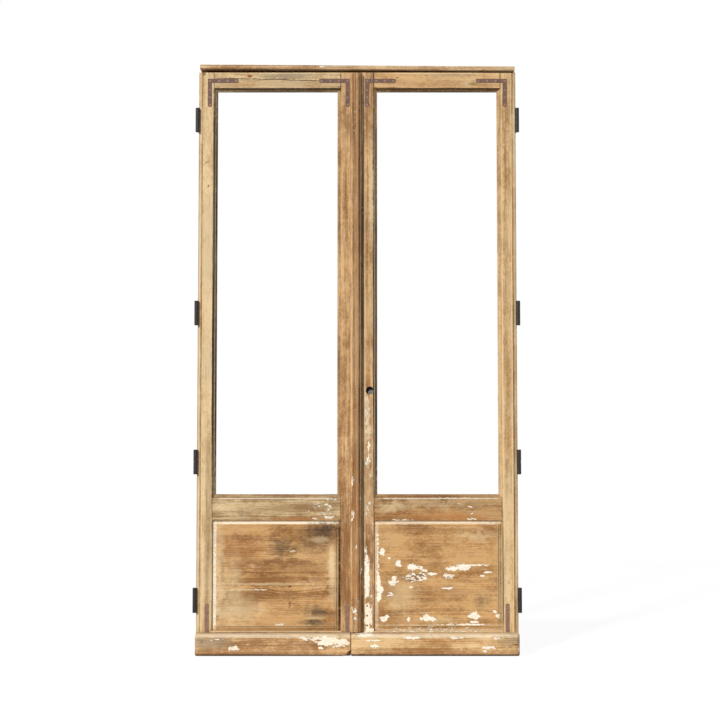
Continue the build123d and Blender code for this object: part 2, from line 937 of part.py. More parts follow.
def make_frame():
    """Threshold, jambs and head, tenoned together, and the drip cap on top."""
    low_tenon = (threshold_height - frame_tenon_length, threshold_height)
    high_tenon = (head_under, head_under + frame_tenon_length)
    with BuildPart() as threshold:
        block((-jamb_outer, jamb_outer), (frame_front, frame_back), (0, threshold_height))
        for side in (LEFT, RIGHT):
            frame_tenon(side, low_tenon, mode=Mode.SUBTRACT)
    save(threshold, "frame_threshold")

    with BuildPart() as head:
        block((-jamb_outer, jamb_outer), (frame_front, frame_back), (head_under, cap_under))
        for side in (LEFT, RIGHT):
            frame_tenon(side, high_tenon, mode=Mode.SUBTRACT)
    save(head, "frame_head")

    for side in (LEFT, RIGHT):
        with BuildPart() as jamb:
            block(
                (side * jamb_inner, side * jamb_outer),
                (frame_front, frame_back),
                (threshold_height, head_under),
            )
            frame_tenon(side, low_tenon)
            frame_tenon(side, high_tenon)
            for height in hinge_heights:
                low, high = knuckle_levels(height, False)
                block(
                    (side * flap_inner, side * (jamb_outer + 1)),
                    (frame_front - 1, frame_front + frame_flap_width),
                    (low + flap_end_inset, high),
                    mode=Mode.SUBTRACT,
                )
            screw_shank(flap_screw_places(side, False), mode=Mode.SUBTRACT)
            for height in wall_hole_heights:
                across = Plane(
                    origin=(side * jamb_outer, frame_back - wall_hole_setback, height),
                    x_dir=(0, 0, 1),
                    z_dir=(-side, 0, 0),
                )
                with Locations(across):
                    Cylinder(
                        wall_hole_radius,
                        2 * (jamb_outer - jamb_inner),
                        mode=Mode.SUBTRACT,
                    )
        save(jamb, f"frame_jamb_{SIDE_NAMES[side]}")

    cap_end = leaf_edge - cap_inset
    with BuildPart() as cap:
        front_outline(
            [
                (-cap_end, cap_under + cap_tilt),
                (-cap_end, cap_under + cap_tilt + cap_height),
                (cap_end, cap_under + cap_height),
                (cap_end, cap_under),
            ],
            leaf_face - cap_overhang,
            frame_back,
        )
        fillet(cap.faces().sort_by(Axis.Y)[0].edges(), cap_arris)
        front_outline(
            [
                (-cap_end, cap_under),
                (-cap_end, cap_under + cap_tilt + 1),
                (cap_end, cap_under + 1),
                (cap_end, cap_under),
            ],
            frame_front,
            frame_back,
        )
    save(cap, "head_drip_cap")


for side in (LEFT, RIGHT):
    make_hinge_stile(side)
    make_edge_strip(side)
    make_meeting_stile(side)
    make_top_rail(side)
    make_mid_rail(side)
    make_bottom_rail(side)
    make_panel(side)
    make_drip_board(side)
    make_angle_irons(side)
    make_screws(flap_screw_places(side, True), f"{SIDE_NAMES[side]}_hinge_screws")
    for number, height in enumerate(hinge_heights, start=1):
        make_hinge_half(side, height, True, f"hinge_leaf_half_{SIDE_NAMES[side]}_{number}")
        make_hinge_half(side, height, False, f"hinge_frame_half_{SIDE_NAMES[side]}_{number}")

make_hinge_pins()
make_screws(flap_screw_places(LEFT, False) + flap_screw_places(RIGHT, False), "frame_hinge_screws")
make_cover_strip()
make_lock()
make_frame()
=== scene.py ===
# %% [markdown]
# # A reclaimed pair of french doors
#
# The carpentry comes from the CAD model: every stile, rail, panel and hinge already has its true shape,
# place and size. This lesson gives the pieces their looks: sawn and weathered pine, the rests of cream
# paint, rusty angle irons and black hinges. It starts by loading the model as a fixed frame.

# %% Load the frame
import math

import bpy
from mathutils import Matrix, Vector


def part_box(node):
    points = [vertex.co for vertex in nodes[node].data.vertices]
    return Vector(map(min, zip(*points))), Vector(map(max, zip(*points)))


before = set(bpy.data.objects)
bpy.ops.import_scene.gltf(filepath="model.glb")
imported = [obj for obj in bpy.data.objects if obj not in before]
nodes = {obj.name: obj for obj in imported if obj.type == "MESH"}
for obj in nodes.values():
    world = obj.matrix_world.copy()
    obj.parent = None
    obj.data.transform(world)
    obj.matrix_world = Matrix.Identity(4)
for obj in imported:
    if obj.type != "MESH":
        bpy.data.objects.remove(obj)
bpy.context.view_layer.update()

# %% [markdown]
# The camera stands in front of the doors at chest height, 5.5 metres away, and looks up a little. Its
# place and its lens were worked out beforehand from the photograph: from where the corners of the
# leaves, lights and hinges fall in it. A camera that is only turned, without shift, is the simplest
# one that puts them all within a pixel or two.

# %% Camera
CAMERA_DISTANCE = 5.5
CAMERA_HEIGHT = 0.8997
CAMERA_SIDE = 0.011
CAMERA_PITCH = math.radians(2.998)
FOCAL_PIXELS = 1357.1
PICTURE_WIDTH = 720
SENSOR_WIDTH = 36.0

leaf_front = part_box("right_hinge_stile")[0].y
camera_data = bpy.data.cameras.new("camera")
camera_data.sensor_width = SENSOR_WIDTH
camera_data.lens = FOCAL_PIXELS / PICTURE_WIDTH * SENSOR_WIDTH
camera = bpy.data.objects.new("camera", camera_data)
camera.location = (CAMERA_SIDE, leaf_front - CAMERA_DISTANCE, CAMERA_HEIGHT)
camera.rotation_euler = (math.pi / 2 + CAMERA_PITCH, 0, 0)
bpy.context.scene.collection.objects.link(camera)
bpy.context.scene.camera = camera
bpy.context.scene.view_settings.view_transform = "Standard"
print("lens", round(camera_data.lens, 2), "mm")


# %% [markdown]
# A material is a small graph of nodes. The class below keeps the graphs short: it adds a node, plugs
# in numbers or other nodes' results, and hands back the result's socket.

# %% Short ways to build a node graph
DULL_SHINE = 0.25


def srgb(red, green, blue):
    """A colour as given, from 0 to 255, turned into the linear values that nodes use."""

    def linear(value):
        value /= 255
        return value / 12.92 if value <= 0.04045 else ((value + 0.055) / 1.055) ** 2.4

    return (linear(red), linear(green), linear(blue), 1.0)


class Graph:
    """The node graph of one material."""

    def __init__(self, name):
        self.material = bpy.data.materials.new(name)
        self.material.use_nodes = True
        self.tree = self.material.node_tree
        self.tree.nodes.clear()
        self.output = self.tree.nodes.new("ShaderNodeOutputMaterial")

    def plug(self, socket, value):
        if isinstance(value, bpy.types.NodeSocket):
            self.tree.links.new(value, socket)
        else:
            socket.default_value = value

    def add(self, kind, inputs, result=0, **settings):
        node = self.tree.nodes.new("ShaderNode" + kind)
        for key, value in settings.items():
            setattr(node, key, value)
        for key, value in inputs.items():
            self.plug(node.inputs[key], value)
        return node.outputs[result]

    def math(self, operation, first, second=0.0, clamp=False):
        return self.add("Math", {0: first, 1: second}, operation=operation, use_clamp=clamp)

    def blend(self, factor, first, second, how="MIX"):
        inputs = {0: factor, 6: first, 7: second}
        return self.add("Mix", inputs, result=2, data_type="RGBA", blend_type=how)

    def span(self, value, low, high, to_low=0.0, to_high=1.0):
        """A value stretched from one range to another, smooth at both ends, and held inside it."""
        inputs = {0: value, 1: low, 2: high, 3: to_low, 4: to_high}
        return self.add("MapRange", inputs, interpolation_type="SMOOTHSTEP")

    def place(self, shift=(0, 0, 0)):
        """The point being shaded, in metres, shifted."""
        point = self.add("TexCoord", {}, result="Object")
        return self.add("VectorMath", {0: point, 1: shift}, operation="ADD")

    def noise(self, vector, scale, detail=3.0, roughness=0.55, distortion=0.0):
        inputs = {
            "Vector": vector,
            "Scale": scale,
            "Detail": detail,
            "Roughness": roughness,
            "Distortion": distortion,
        }
        return self.add("TexNoise", inputs)

    def finish(self, color, roughness, height, bump=0.5, distance=0.001, metallic=0.0):
        normal = self.add("Bump", {"Strength": bump, "Distance": distance, "Height": height})
        shader = self.tree.nodes.new("ShaderNodeBsdfPrincipled")
        self.plug(shader.inputs["Base Color"], color)
        self.plug(shader.inputs["Roughness"], roughness)
        self.plug(shader.inputs["Normal"], normal)
        shader.inputs["Metallic"].default_value = metallic
        shader.inputs["Specular IOR Level"].default_value = DULL_SHINE
        self.tree.links.new(shader.outputs[0], self.output.inputs[0])
        return self.material


print("middle grey in linear values", round(srgb(128, 128, 128)[0], 3))

# %% [markdown]
# Now the lights. The lamp is a sun, so that its light is as strong at the sill as at the head, and it
# has a wide angle, so that its shadows are soft. It stands high on the left, because in the photograph
# the left and the upper sides of the hollows are in shade. The world fills the shadows a little, and
# looks pure white to the camera. The floor could be left out, but then nothing would carry the shadow.

# %% Lights, world and floor
SUN_STRENGTH = 3.15
SUN_ANGLE = math.radians(7)
SUN_FROM = Vector((-0.62, -1.0, 0.62))
FILL_STRENGTH = 0.22
FLOOR_SIZE = 14.0
FLOOR_WHITE = 0.8
FLOOR_GLOW = 1.08
FLOOR_GLOW_SHARE = 0.87


def light_the_studio():
    sun_data = bpy.data.lights.new("sun", "SUN")
    sun_data.energy = SUN_STRENGTH
    sun_data.angle = SUN_ANGLE
    sun = bpy.data.objects.new("sun", sun_data)
    sun.rotation_euler = SUN_FROM.to_track_quat("Z", "Y").to_euler()
    bpy.context.scene.collection.objects.link(sun)

    world = bpy.data.worlds.new("white")
    world.use_nodes = True
    bpy.context.scene.world = world
    tree = world.node_tree
    tree.nodes.clear()
    rays = tree.nodes.new("ShaderNodeLightPath")
    seen = tree.nodes.new("ShaderNodeMath")
    seen.operation = "MAXIMUM"
    tree.links.new(rays.outputs["Is Camera Ray"], seen.inputs[0])
    tree.links.new(rays.outputs["Is Glossy Ray"], seen.inputs[1])
    seen_or_through = tree.nodes.new("ShaderNodeMath")
    seen_or_through.operation = "MAXIMUM"
    tree.links.new(seen.outputs[0], seen_or_through.inputs[0])
    tree.links.new(rays.outputs["Is Transmission Ray"], seen_or_through.inputs[1])
    fill = tree.nodes.new("ShaderNodeBackground")
    fill.inputs["Strength"].default_value = FILL_STRENGTH
    white = tree.nodes.new("ShaderNodeBackground")
    white.inputs["Color"].default_value = (1, 1, 1, 1)
    fill.inputs["Color"].default_value = (1, 1, 1, 1)
    either = tree.nodes.new("ShaderNodeMixShader")
    output = tree.nodes.new("ShaderNodeOutputWorld")
    tree.links.new(seen_or_through.outputs[0], either.inputs[0])
    tree.links.new(fill.outputs[0], either.inputs[1])
    tree.links.new(white.outputs[0], either.inputs[2])
    tree.links.new(either.outputs[0], output.inputs[0])


def lay_the_floor():
    """A pale floor that is nearly white to the camera and still takes the doors' shadow."""
    half = FLOOR_SIZE / 2
    mesh = bpy.data.meshes.new("floor")
    corners = [(-half, -half, 0), (half, -half, 0), (half, half, 0), (-half, half, 0)]
    mesh.from_pydata(corners, [], [(0, 1, 2, 3)])
    floor = bpy.data.objects.new("floor", mesh)
    bpy.context.scene.collection.objects.link(floor)
    graph = Graph("floor")
    tree = graph.tree
    matt = tree.nodes.new("ShaderNodeBsdfDiffuse")
    matt.inputs["Color"].default_value = (FLOOR_WHITE, FLOOR_WHITE, FLOOR_WHITE, 1)
    glow = tree.nodes.new("ShaderNodeEmission")
    glow.inputs["Strength"].default_value = FLOOR_GLOW
    rays = tree.nodes.new("ShaderNodeLightPath")
    share = graph.math("MULTIPLY", rays.outputs["Is Camera Ray"], FLOOR_GLOW_SHARE)
    either = tree.nodes.new("ShaderNodeMixShader")
    tree.links.new(share, either.inputs[0])
    tree.links.new(matt.outputs[0], either.inputs[1])
    tree.links.new(glow.outputs[0], either.inputs[2])
    tree.links.new(either.outputs[0], graph.output.inputs[0])
    mesh.materials.append(graph.material)


light_the_studio()
lay_the_floor()
print("lamps", len(bpy.data.lights), "sun", SUN_STRENGTH, "fill", FILL_STRENGTH)

# %% [markdown]
# Pine. A board is sawn out of a trunk, so its figure is a slice through the growth rings: nested
# cylinders round the pith, which lies some way behind the board's face. Near the pith's line the saw
# runs along the rings and they look wide, and towards the edges they crowd together. The rings could
# be painted, but measuring the distance from the pith gives faces, edges and ends that fit together.
# A slow noise bends them first, because a trunk is never straight, and they part round each knot.

# %% The point of a board that is shaded
WANDERINGS = ((85.0, 0.013), (60.0, 0.032), (26.0, 0.085))
SMALL_MARK = 0.007
MIDDLE_MARK = 0.014
BEND = 0.022
KNOT_ASIDE = 5
KNOT_ALONG = 14
KNOT_PUSH = -0.75


class Board:
    """The shaded point in a board's own directions: across the grain, in depth, and along it."""

    def __init__(self, graph, grain, seed, knots=()):
        self.graph = graph
        self.grain = grain
        self.seed = seed
        self.point = graph.place()
        x, y, z = (graph.add("SeparateXYZ", {0: self.point}, result=number) for number in range(3))
        self.across, self.depth, self.along = (x, y, z) if grain == "Z" else (z, y, x)
        self.wandering = [self.pushed(scale, reach) for scale, reach in WANDERINGS]
        bend = graph.noise(self.stretched(7.0, 1.1), 1.0, detail=2.0, roughness=0.5)
        bend = graph.math("MULTIPLY", graph.math("SUBTRACT", bend, 0.5), BEND)
        bent = graph.math("ADD", self.across, bend)
        wide, high = (KNOT_ASIDE, KNOT_ALONG) if grain == "Z" else (KNOT_ALONG, KNOT_ASIDE)
        for centre, radii in knots:
            beside = centre[0] if grain == "Z" else centre[1]
            reach = (radii[0] * wide, radii[1] * high)
            near = ellipse(graph, self.point, centre, reach, soft=1.6)
            aside = graph.math("SUBTRACT", self.across, beside)
            push = graph.math("MULTIPLY", graph.math("MULTIPLY", near, aside), KNOT_PUSH)
            bent = graph.math("ADD", bent, push)
        self.bent = bent

    def pushed(self, scale, reach):
        """The point pushed about by a noise, so that what is drawn round it gets a natural outline."""
        inputs = {"Vector": self.graph.place(shift=(self.seed, self.seed, self.seed)), "Scale": scale}
        inputs.update({"Detail": 5.0, "Roughness": 0.6})
        push = self.graph.add("TexNoise", inputs, result=1)
        push = self.graph.add("VectorMath", {0: push, 1: (0.5, 0.5, 0.5)}, operation="SUBTRACT")
        push = self.graph.add("VectorMath", {0: push, 1: (reach, reach, reach)}, operation="MULTIPLY")
        return self.graph.add("VectorMath", {0: self.point, 1: push}, operation="ADD")

    def round_mark(self, radii, boxed):
        """The point that a mark of this size is drawn round."""
        if boxed:
            return self.point
        small = min(radii)
        return self.wandering[0 if small < SMALL_MARK else 1 if small < MIDDLE_MARK else 2]

    def stretched(self, across_scale, along_scale, shift=0.0, bent=False):
        """A point for a noise whose marks are as much longer than wide as the two scales differ."""
        across = self.bent if bent else self.across
        across = self.graph.math("MULTIPLY", across, across_scale)
        depth = self.graph.math("MULTIPLY", self.depth, across_scale)
        along = self.graph.math("MULTIPLY", self.along, along_scale)
        shifted = self.graph.math("ADD", across, self.seed + shift)
        return self.graph.add("CombineXYZ", {0: shifted, 1: depth, 2: along})


print("outlines wander by", [reach for scale, reach in WANDERINGS], "m")

# %% [markdown]
# A year's ring starts pale and soft and ends in a thin dark line, and then the next one starts at once.
# A saw wave rises in just that way. It is measured round the pith, and its own distortion, which
# changes slowly along the grain, makes the rings uneven.

# %% Growth rings
RING_WIDTH = 0.0052
WAVE_TEXTURE_FACTOR = 20
SLOW_ALONG = 0.07


def growth_rings(board, pith):
    """Dark latewood at the end of each year's ring, from 0 to 1."""
    graph = board.graph
    across = graph.math("SUBTRACT", board.bent, pith[0])
    depth = graph.math("SUBTRACT", board.depth, pith[1])
    along = graph.math("ADD", graph.math("MULTIPLY", board.along, SLOW_ALONG), board.seed)
    inputs = {
        "Vector": graph.add("CombineXYZ", {0: across, 1: depth, 2: along}),
        "Scale": 2 * math.pi / (WAVE_TEXTURE_FACTOR * RING_WIDTH),
        "Distortion": 11.0,
        "Detail": 3.0,
        "Detail Scale": 0.22,
        "Detail Roughness": 0.55,
    }
    kinds = {"wave_type": "RINGS", "rings_direction": "Z", "wave_profile": "SAW"}
    wave = graph.add("TexWave", inputs, result=1, **kinds)
    rising = graph.span(wave, 0.2, 0.9)
    falling = graph.span(wave, 0.93, 1.0)
    return graph.math("SUBTRACT", rising, falling, clamp=True)


print("a ring is", RING_WIDTH * 1000, "mm wide")

# %% [markdown]
# Marks. A stain, a knot or a patch of paint has a place on the doors' face and a size, and so does a
# line of painted shade or painted highlight along a moulding. Each is an oval, or a box for the long
# ones, whose border is broken up by a noise. Cutting such a mask in a hard way gives paint, and fading
# it gives a stain. They could be painted on a flat picture, but marks measured in millimetres stay
# sharp at any size. A kind of mark is three things: how ragged its border is, how soft, and its tone.

# %% Places on the face
def ellipse(graph, point, centre, radii, rough=None, ragged=0.0, soft=0.5, boxed=False):
    """1 inside an oval or a box on the face, 0 outside it, with a ragged or a soft border."""
    place = graph.add("VectorMath", {0: point, 1: (centre[0], 0, centre[1])}, operation="SUBTRACT")
    inputs = {0: place, 1: (1 / radii[0], 0, 1 / radii[1])}
    place = graph.add("VectorMath", inputs, operation="MULTIPLY")
    if boxed:
        sides = graph.add("VectorMath", {0: place}, operation="ABSOLUTE")
        wide, _, high = (graph.add("SeparateXYZ", {0: sides}, result=number) for number in range(3))
        distance = graph.math("MAXIMUM", wide, high)
    else:
        distance = graph.add("VectorMath", {0: place}, result="Value", operation="LENGTH")
    if rough is not None:
        distance = graph.add("Math", {0: rough, 1: ragged, 2: distance}, operation="MULTIPLY_ADD")
    return graph.span(distance, 1 + soft / 2, 1 - soft / 2)


# The soot and grime kinds also serve as painted shade, and the pale and cream kinds as painted
# highlight, along the mouldings.
MARK_KINDS = {
    "knot": (0.3, 0.5, (84, 46, 22)),
    "red_knot": (0.4, 0.6, (146, 62, 32)),
    "damp": (1.3, 1.7, (66, 52, 38)),
    "warm": (1.2, 1.5, (176, 114, 58)),
    "pale": (1.0, 1.4, (232, 206, 160)),
    "cream": (0.8, 0.5, (244, 230, 202)),
    "grey": (1.0, 1.3, (146, 130, 106)),
    "crack": (0.7, 0.7, (42, 27, 15)),
    "brown": (1.1, 1.4, (122, 80, 42)),
    "grime_and_shade": (0.5, 0.8, (66, 46, 26)),
    "olive": (0.8, 0.8, (126, 98, 60)),
    "soot_and_shade": (0.5, 0.6, (30, 21, 13)),
}


def mark(kind, x, z, half_width, half_height, strength=1.0, boxed=False):
    """A stain, or a line of painted shade or painted highlight, from millimetres on the doors' face."""
    return (kind, (x / 1000, z / 1000), (half_width / 1000, half_height / 1000), strength, boxed)


def patch(x, z, half_width, half_height, cover, boxed=False):
    """A place where paint still clings, and how much of it."""
    return ((x / 1000, z / 1000), (half_width / 1000, half_height / 1000), cover, boxed)


print("kinds of mark", ", ".join(MARK_KINDS))

# %% [markdown]
# Paint comes off in flakes, along the grain first. Inside each patch a noise is cut off at a level:
# the higher the patch's cover, the more of the paint still holds. The cut gives the flakes their
# sharp, ragged border, and the band just outside it is darkened as the flakes' painted shadow. A finer
# noise leaves specks of paint in the pores all over the board.

# %% Rests of paint
SPECK_COVER = 0.26
COARSE_SHARE = 0.72
GRIP_CONTRAST = 2.3
FLAKE_SHADOW_REACH = 0.14
FLECKS_PER_RESIDUE = 2.4


def flaking_paint(board, patches, rough, residue):
    graph = board.graph
    coarse = graph.noise(board.stretched(120.0, 48.0, 5.0), 1.0, detail=6.0, roughness=0.66)
    fine = graph.noise(board.stretched(420.0, 130.0, 9.0), 1.0, detail=3.0, roughness=0.6)
    area = graph.noise(board.stretched(22.0, 8.0, 2.0), 1.0, detail=3.0)
    specks = graph.math("MULTIPLY", graph.span(area, 0.42, 0.7), residue)
    total = graph.math("MULTIPLY", specks, SPECK_COVER)
    for centre, radii, cover, boxed in patches:
        point = board.round_mark(radii, boxed)
        mask = ellipse(graph, point, centre, radii, rough, 1.2, 0.8, boxed)
        total = graph.math("MAXIMUM", total, graph.math("MULTIPLY", mask, cover))
    finer = graph.math("MULTIPLY", fine, 1 - COARSE_SHARE)
    grip = graph.math("ADD", graph.math("MULTIPLY", coarse, COARSE_SHARE), finer)
    grip = graph.math("MULTIPLY", graph.math("SUBTRACT", grip, 0.5), GRIP_CONTRAST)
    edge = graph.math("SUBTRACT", graph.math("ADD", total, grip), 0.5)
    painted = graph.span(total, 0.02, 0.1)
    inside = graph.math("MULTIPLY", graph.span(edge, 0.0, 0.05), painted)
    # Painted shadow: a dark band just outside the edge of each flake.
    flake_shadow_band = graph.math("MULTIPLY", graph.span(edge, -FLAKE_SHADOW_REACH, 0.0), painted)
    bare = graph.math("SUBTRACT", flake_shadow_band, inside, clamp=True)
    flecks = graph.math("MULTIPLY", graph.span(fine, 0.64, 0.7), graph.span(area, 0.44, 0.64))
    flecks = graph.math("MULTIPLY", flecks, min(1.0, FLECKS_PER_RESIDUE * residue))
    return graph.math("ADD", flecks, inside, clamp=True), bare


print("paint holds in flakes and specks")

# %% [markdown]
# A board's finish puts all of this together: the rings, cloudy tones that run with the grain, fine
# dark and pale fibres, grime and painted shade in the recesses, the marks, and the paint. Fine fibres
# also raise and lower the surface, which catches the light as bare weathered softwood does.

# %% Weathered pine
FACE = leaf_front
HOLLOW_FROM = FACE + 0.0015
HOLLOW_TO = FACE + 0.006
LIP_EDGES = (FACE + 0.0115, FACE + 0.0122)
LIP_SOFT = 0.0003
DEEP_SHARE = 0.55
PALE_SHARE = 0.45
WEATHERED_TONE = srgb(160, 144, 116)
GRIME_AND_SHADE_TONE = srgb(74, 52, 30)
PAINT_TONES = (srgb(255, 250, 234), srgb(234, 218, 190), srgb(226, 202, 170))
PAINT_COVERS = 0.93


def pine(name, grain, pith, light, dark, seed=0.0, rings=0.4, clouds=0.5, fibres=0.6, grey=0.2,
         residue=0.3, grime_and_shade=0.4, marks=(), paint=()):
    graph = Graph(name)
    knots = [(centre, radii) for kind, centre, radii, _, _ in marks if "knot" in kind]
    board = Board(graph, grain, seed, knots)
    ring = growth_rings(board, pith)
    cloud = graph.noise(board.stretched(9.0, 3.2, 1.0, bent=True), 1.0, detail=4.0, roughness=0.6)
    streak = graph.noise(board.stretched(85.0, 2.6, 3.0, bent=True), 1.0, detail=6.0, roughness=0.66)
    thread = graph.noise(board.stretched(260.0, 9.0, 4.0, bent=True), 1.0, detail=4.0, roughness=0.6)
    fibre = graph.noise(board.stretched(900.0, 30.0, 6.0), 1.0, detail=2.0, roughness=0.6)
    mottle = graph.noise(board.stretched(210.0, 90.0, 8.0), 1.0, detail=4.0, roughness=0.7)
    blotch = graph.noise(board.stretched(15.0, 10.0, 12.0), 1.0, detail=8.0, roughness=0.7)

    shade = graph.math("MULTIPLY", ring, rings)
    shade = graph.math("ADD", shade, graph.span(cloud, 0.3, 0.72, -0.5 * clouds, clouds))
    shade = graph.math("ADD", shade, graph.span(blotch, 0.32, 0.68, -0.34, 0.34))
    shade = graph.math("ADD", shade, graph.span(streak, 0.32, 0.68, -0.3 * fibres, 0.8 * fibres))
    shade = graph.math("ADD", shade, graph.span(mottle, 0.3, 0.7, -0.28, 0.28), clamp=True)
    color = graph.blend(shade, srgb(*light), srgb(*dark))
    deep = tuple(channel * DEEP_SHARE for channel in dark)
    pale = tuple(channel + (255 - channel) * PALE_SHARE for channel in light)
    dark_threads = graph.math("MULTIPLY", graph.span(thread, 0.57, 0.7), fibres)
    color = graph.blend(dark_threads, color, srgb(*deep))
    pale_threads = graph.math("MULTIPLY", graph.span(thread, 0.42, 0.3), fibres * 0.9)
    color = graph.blend(pale_threads, color, srgb(*pale))
    weathered = graph.math("MULTIPLY", graph.span(cloud, 0.52, 0.35), grey)
    color = graph.blend(weathered, color, WEATHERED_TONE)

    # Grime and painted shade: the hollows behind the face are darkened, all but the lip at their bottom.
    sunk_grime_and_shade = graph.span(board.depth, HOLLOW_FROM, HOLLOW_TO)
    before, behind = (graph.span(board.depth, edge, edge + LIP_SOFT) for edge in LIP_EDGES)
    lip = graph.math("MULTIPLY", graph.math("SUBTRACT", before, behind), 0.75)
    sunk_grime_and_shade = graph.math("MULTIPLY", graph.math("SUBTRACT", sunk_grime_and_shade, lip), grime_and_shade)
    color = graph.blend(graph.math("MULTIPLY", sunk_grime_and_shade, graph.span(mottle, 0.25, 0.6)), color, GRIME_AND_SHADE_TONE)

    rough = graph.noise(board.stretched(95.0, 52.0, 7.0), 1.0, detail=5.0, roughness=0.62)
    rough = graph.math("SUBTRACT", rough, 0.5)
    for kind, centre, radii, strength, boxed in marks:
        ragged, soft, tone = MARK_KINDS[kind]
        point = board.round_mark(radii, boxed)
        mask = ellipse(graph, point, centre, radii, rough, ragged * 1.6, soft, boxed)
        veins = graph.span(streak, 0.25, 0.6, 0.55, 1.0)
        share = graph.math("MULTIPLY", graph.math("MULTIPLY", mask, veins), strength)
        color = graph.blend(share, color, srgb(*tone))

    inside, flake_shadow_band = flaking_paint(board, paint, rough, residue)
    # Painted shadow round the flakes of paint.
    color = graph.blend(graph.math("MULTIPLY", flake_shadow_band, 0.4), color, srgb(*deep))
    clean, worn, stained = PAINT_TONES
    cream = graph.blend(graph.span(mottle, 0.35, 0.7), clean, worn)
    cream = graph.blend(graph.span(cloud, 0.5, 0.75, 0.0, 0.7), cream, stained)
    color = graph.blend(graph.math("MULTIPLY", inside, PAINT_COVERS), color, cream)

    height = graph.math("ADD", graph.math("MULTIPLY", ring, -0.35), graph.math("MULTIPLY", fibre, 0.35))
    height = graph.math("ADD", height, graph.math("MULTIPLY", thread, -0.8))
    height = graph.math("ADD", height, graph.math("MULTIPLY", inside, 0.9))
    roughness = graph.span(fibre, 0.3, 0.7, 0.66, 0.84)
    return graph.finish(color, roughness, height, bump=0.6, distance=0.0008)


print("pine's hollows start", round((HOLLOW_FROM - FACE) * 1000, 1), "mm behind the face")

# %% [markdown]
# Each board now gets its own pine. One shared finish would be quicker, but no two boards of an old door
# have aged alike. The hinge stiles have bleached to a light tan in the sun. The long boxed marks are
# the lines of the moulding round the light: painted shade where the hollow is turned away from the
# lamp, and painted highlight where an edge faces it. The painted shade is darkest in the hollows on
# the left and at the top of each light, because the lamp is high on the left.

# %% Hinge stiles
LIGHT_MIDDLE = 1474
STILE_MIDDLE = 1190
STILE_HALF = 1130
finishes = {}
finishes["left_hinge_stile"] = pine(
    "left hinge stile pine", "Z", (-0.60, 0.03), (229, 200, 154), (184, 148, 101),
    seed=1.3, rings=0.3, clouds=0.4, fibres=0.42, grey=0.25, residue=0.1,
    marks=[
        mark("knot", -618, 1997, 4, 5, 0.7),
        mark("knot", -608, 1899, 3, 5, 0.8),
        mark("red_knot", -611, 1999, 4, 5, 0.6),
        # Painted shade in the hollow left of the light, and a painted highlight on its lip.
        mark("soot_and_shade", -587.0, LIGHT_MIDDLE, 3.4, 832, 1.0, True),
        mark("pale", -580.6, LIGHT_MIDDLE, 1.6, 828, 0.5, True),
        mark("soot_and_shade", -574, LIGHT_MIDDLE, 4.4, 826, 0.9, True),
        mark("soot_and_shade", -574.6, LIGHT_MIDDLE, 3.2, 824, 0.9, True),
        mark("crack", -586, 2337, 1.4, 30, 0.6, True),
        mark("olive", -600, 480, 15, 420, 0.45, True),
        mark("brown", -596, 420, 10, 60, 0.35),
        mark("pale", -621, 1400, 3, 900, 0.3, True),
        mark("grime_and_shade", -628, 2362, 6, 8, 0.7),
    ],
    paint=[patch(-596, 570, 9, 60, 0.15), patch(-590, 900, 4, 300, 0.12)],
)
finishes["right_hinge_stile"] = pine(
    "right hinge stile pine", "Z", (0.63, 0.05), (222, 186, 136), (168, 132, 86),
    seed=4.1, rings=0.35, clouds=0.5, fibres=0.55, residue=0.2, grime_and_shade=0.2,
    marks=[
        mark("pale", 590.5, LIGHT_MIDDLE, 1.8, 840, 0.8, True),
        mark("pale", 629, STILE_MIDDLE, 2.2, 1120, 0.6, True),
        mark("brown", 606, 1500, 9, 700, 0.25),
        # A dark line of painted shade at the panel's right border.
        mark("soot_and_shade", 587, 318, 3.0, 222, 0.9, True),
        mark("crack", 586, 2337, 1.4, 30, 0.8, True),
        mark("brown", 606, 2050, 7, 160, 0.5),
        mark("knot", 611, 291, 4, 7, 0.6),
        mark("pale", 606, 400, 14, 220, 0.4, True),
    ],
    paint=[patch(592, 2060, 5, 70, 0.24), patch(589, 700, 5, 500, 0.15), patch(618, 420, 4, 220, 0.14)],
)
print("hinge stiles", len(finishes))

# %% [markdown]
# The meeting stiles kept an orange brown, because they stayed painted for longer. On the right one a
# long rest of cream paint runs down from the lock hole, where hands wore it away in patches. It covers
# the iron at the foot as well.

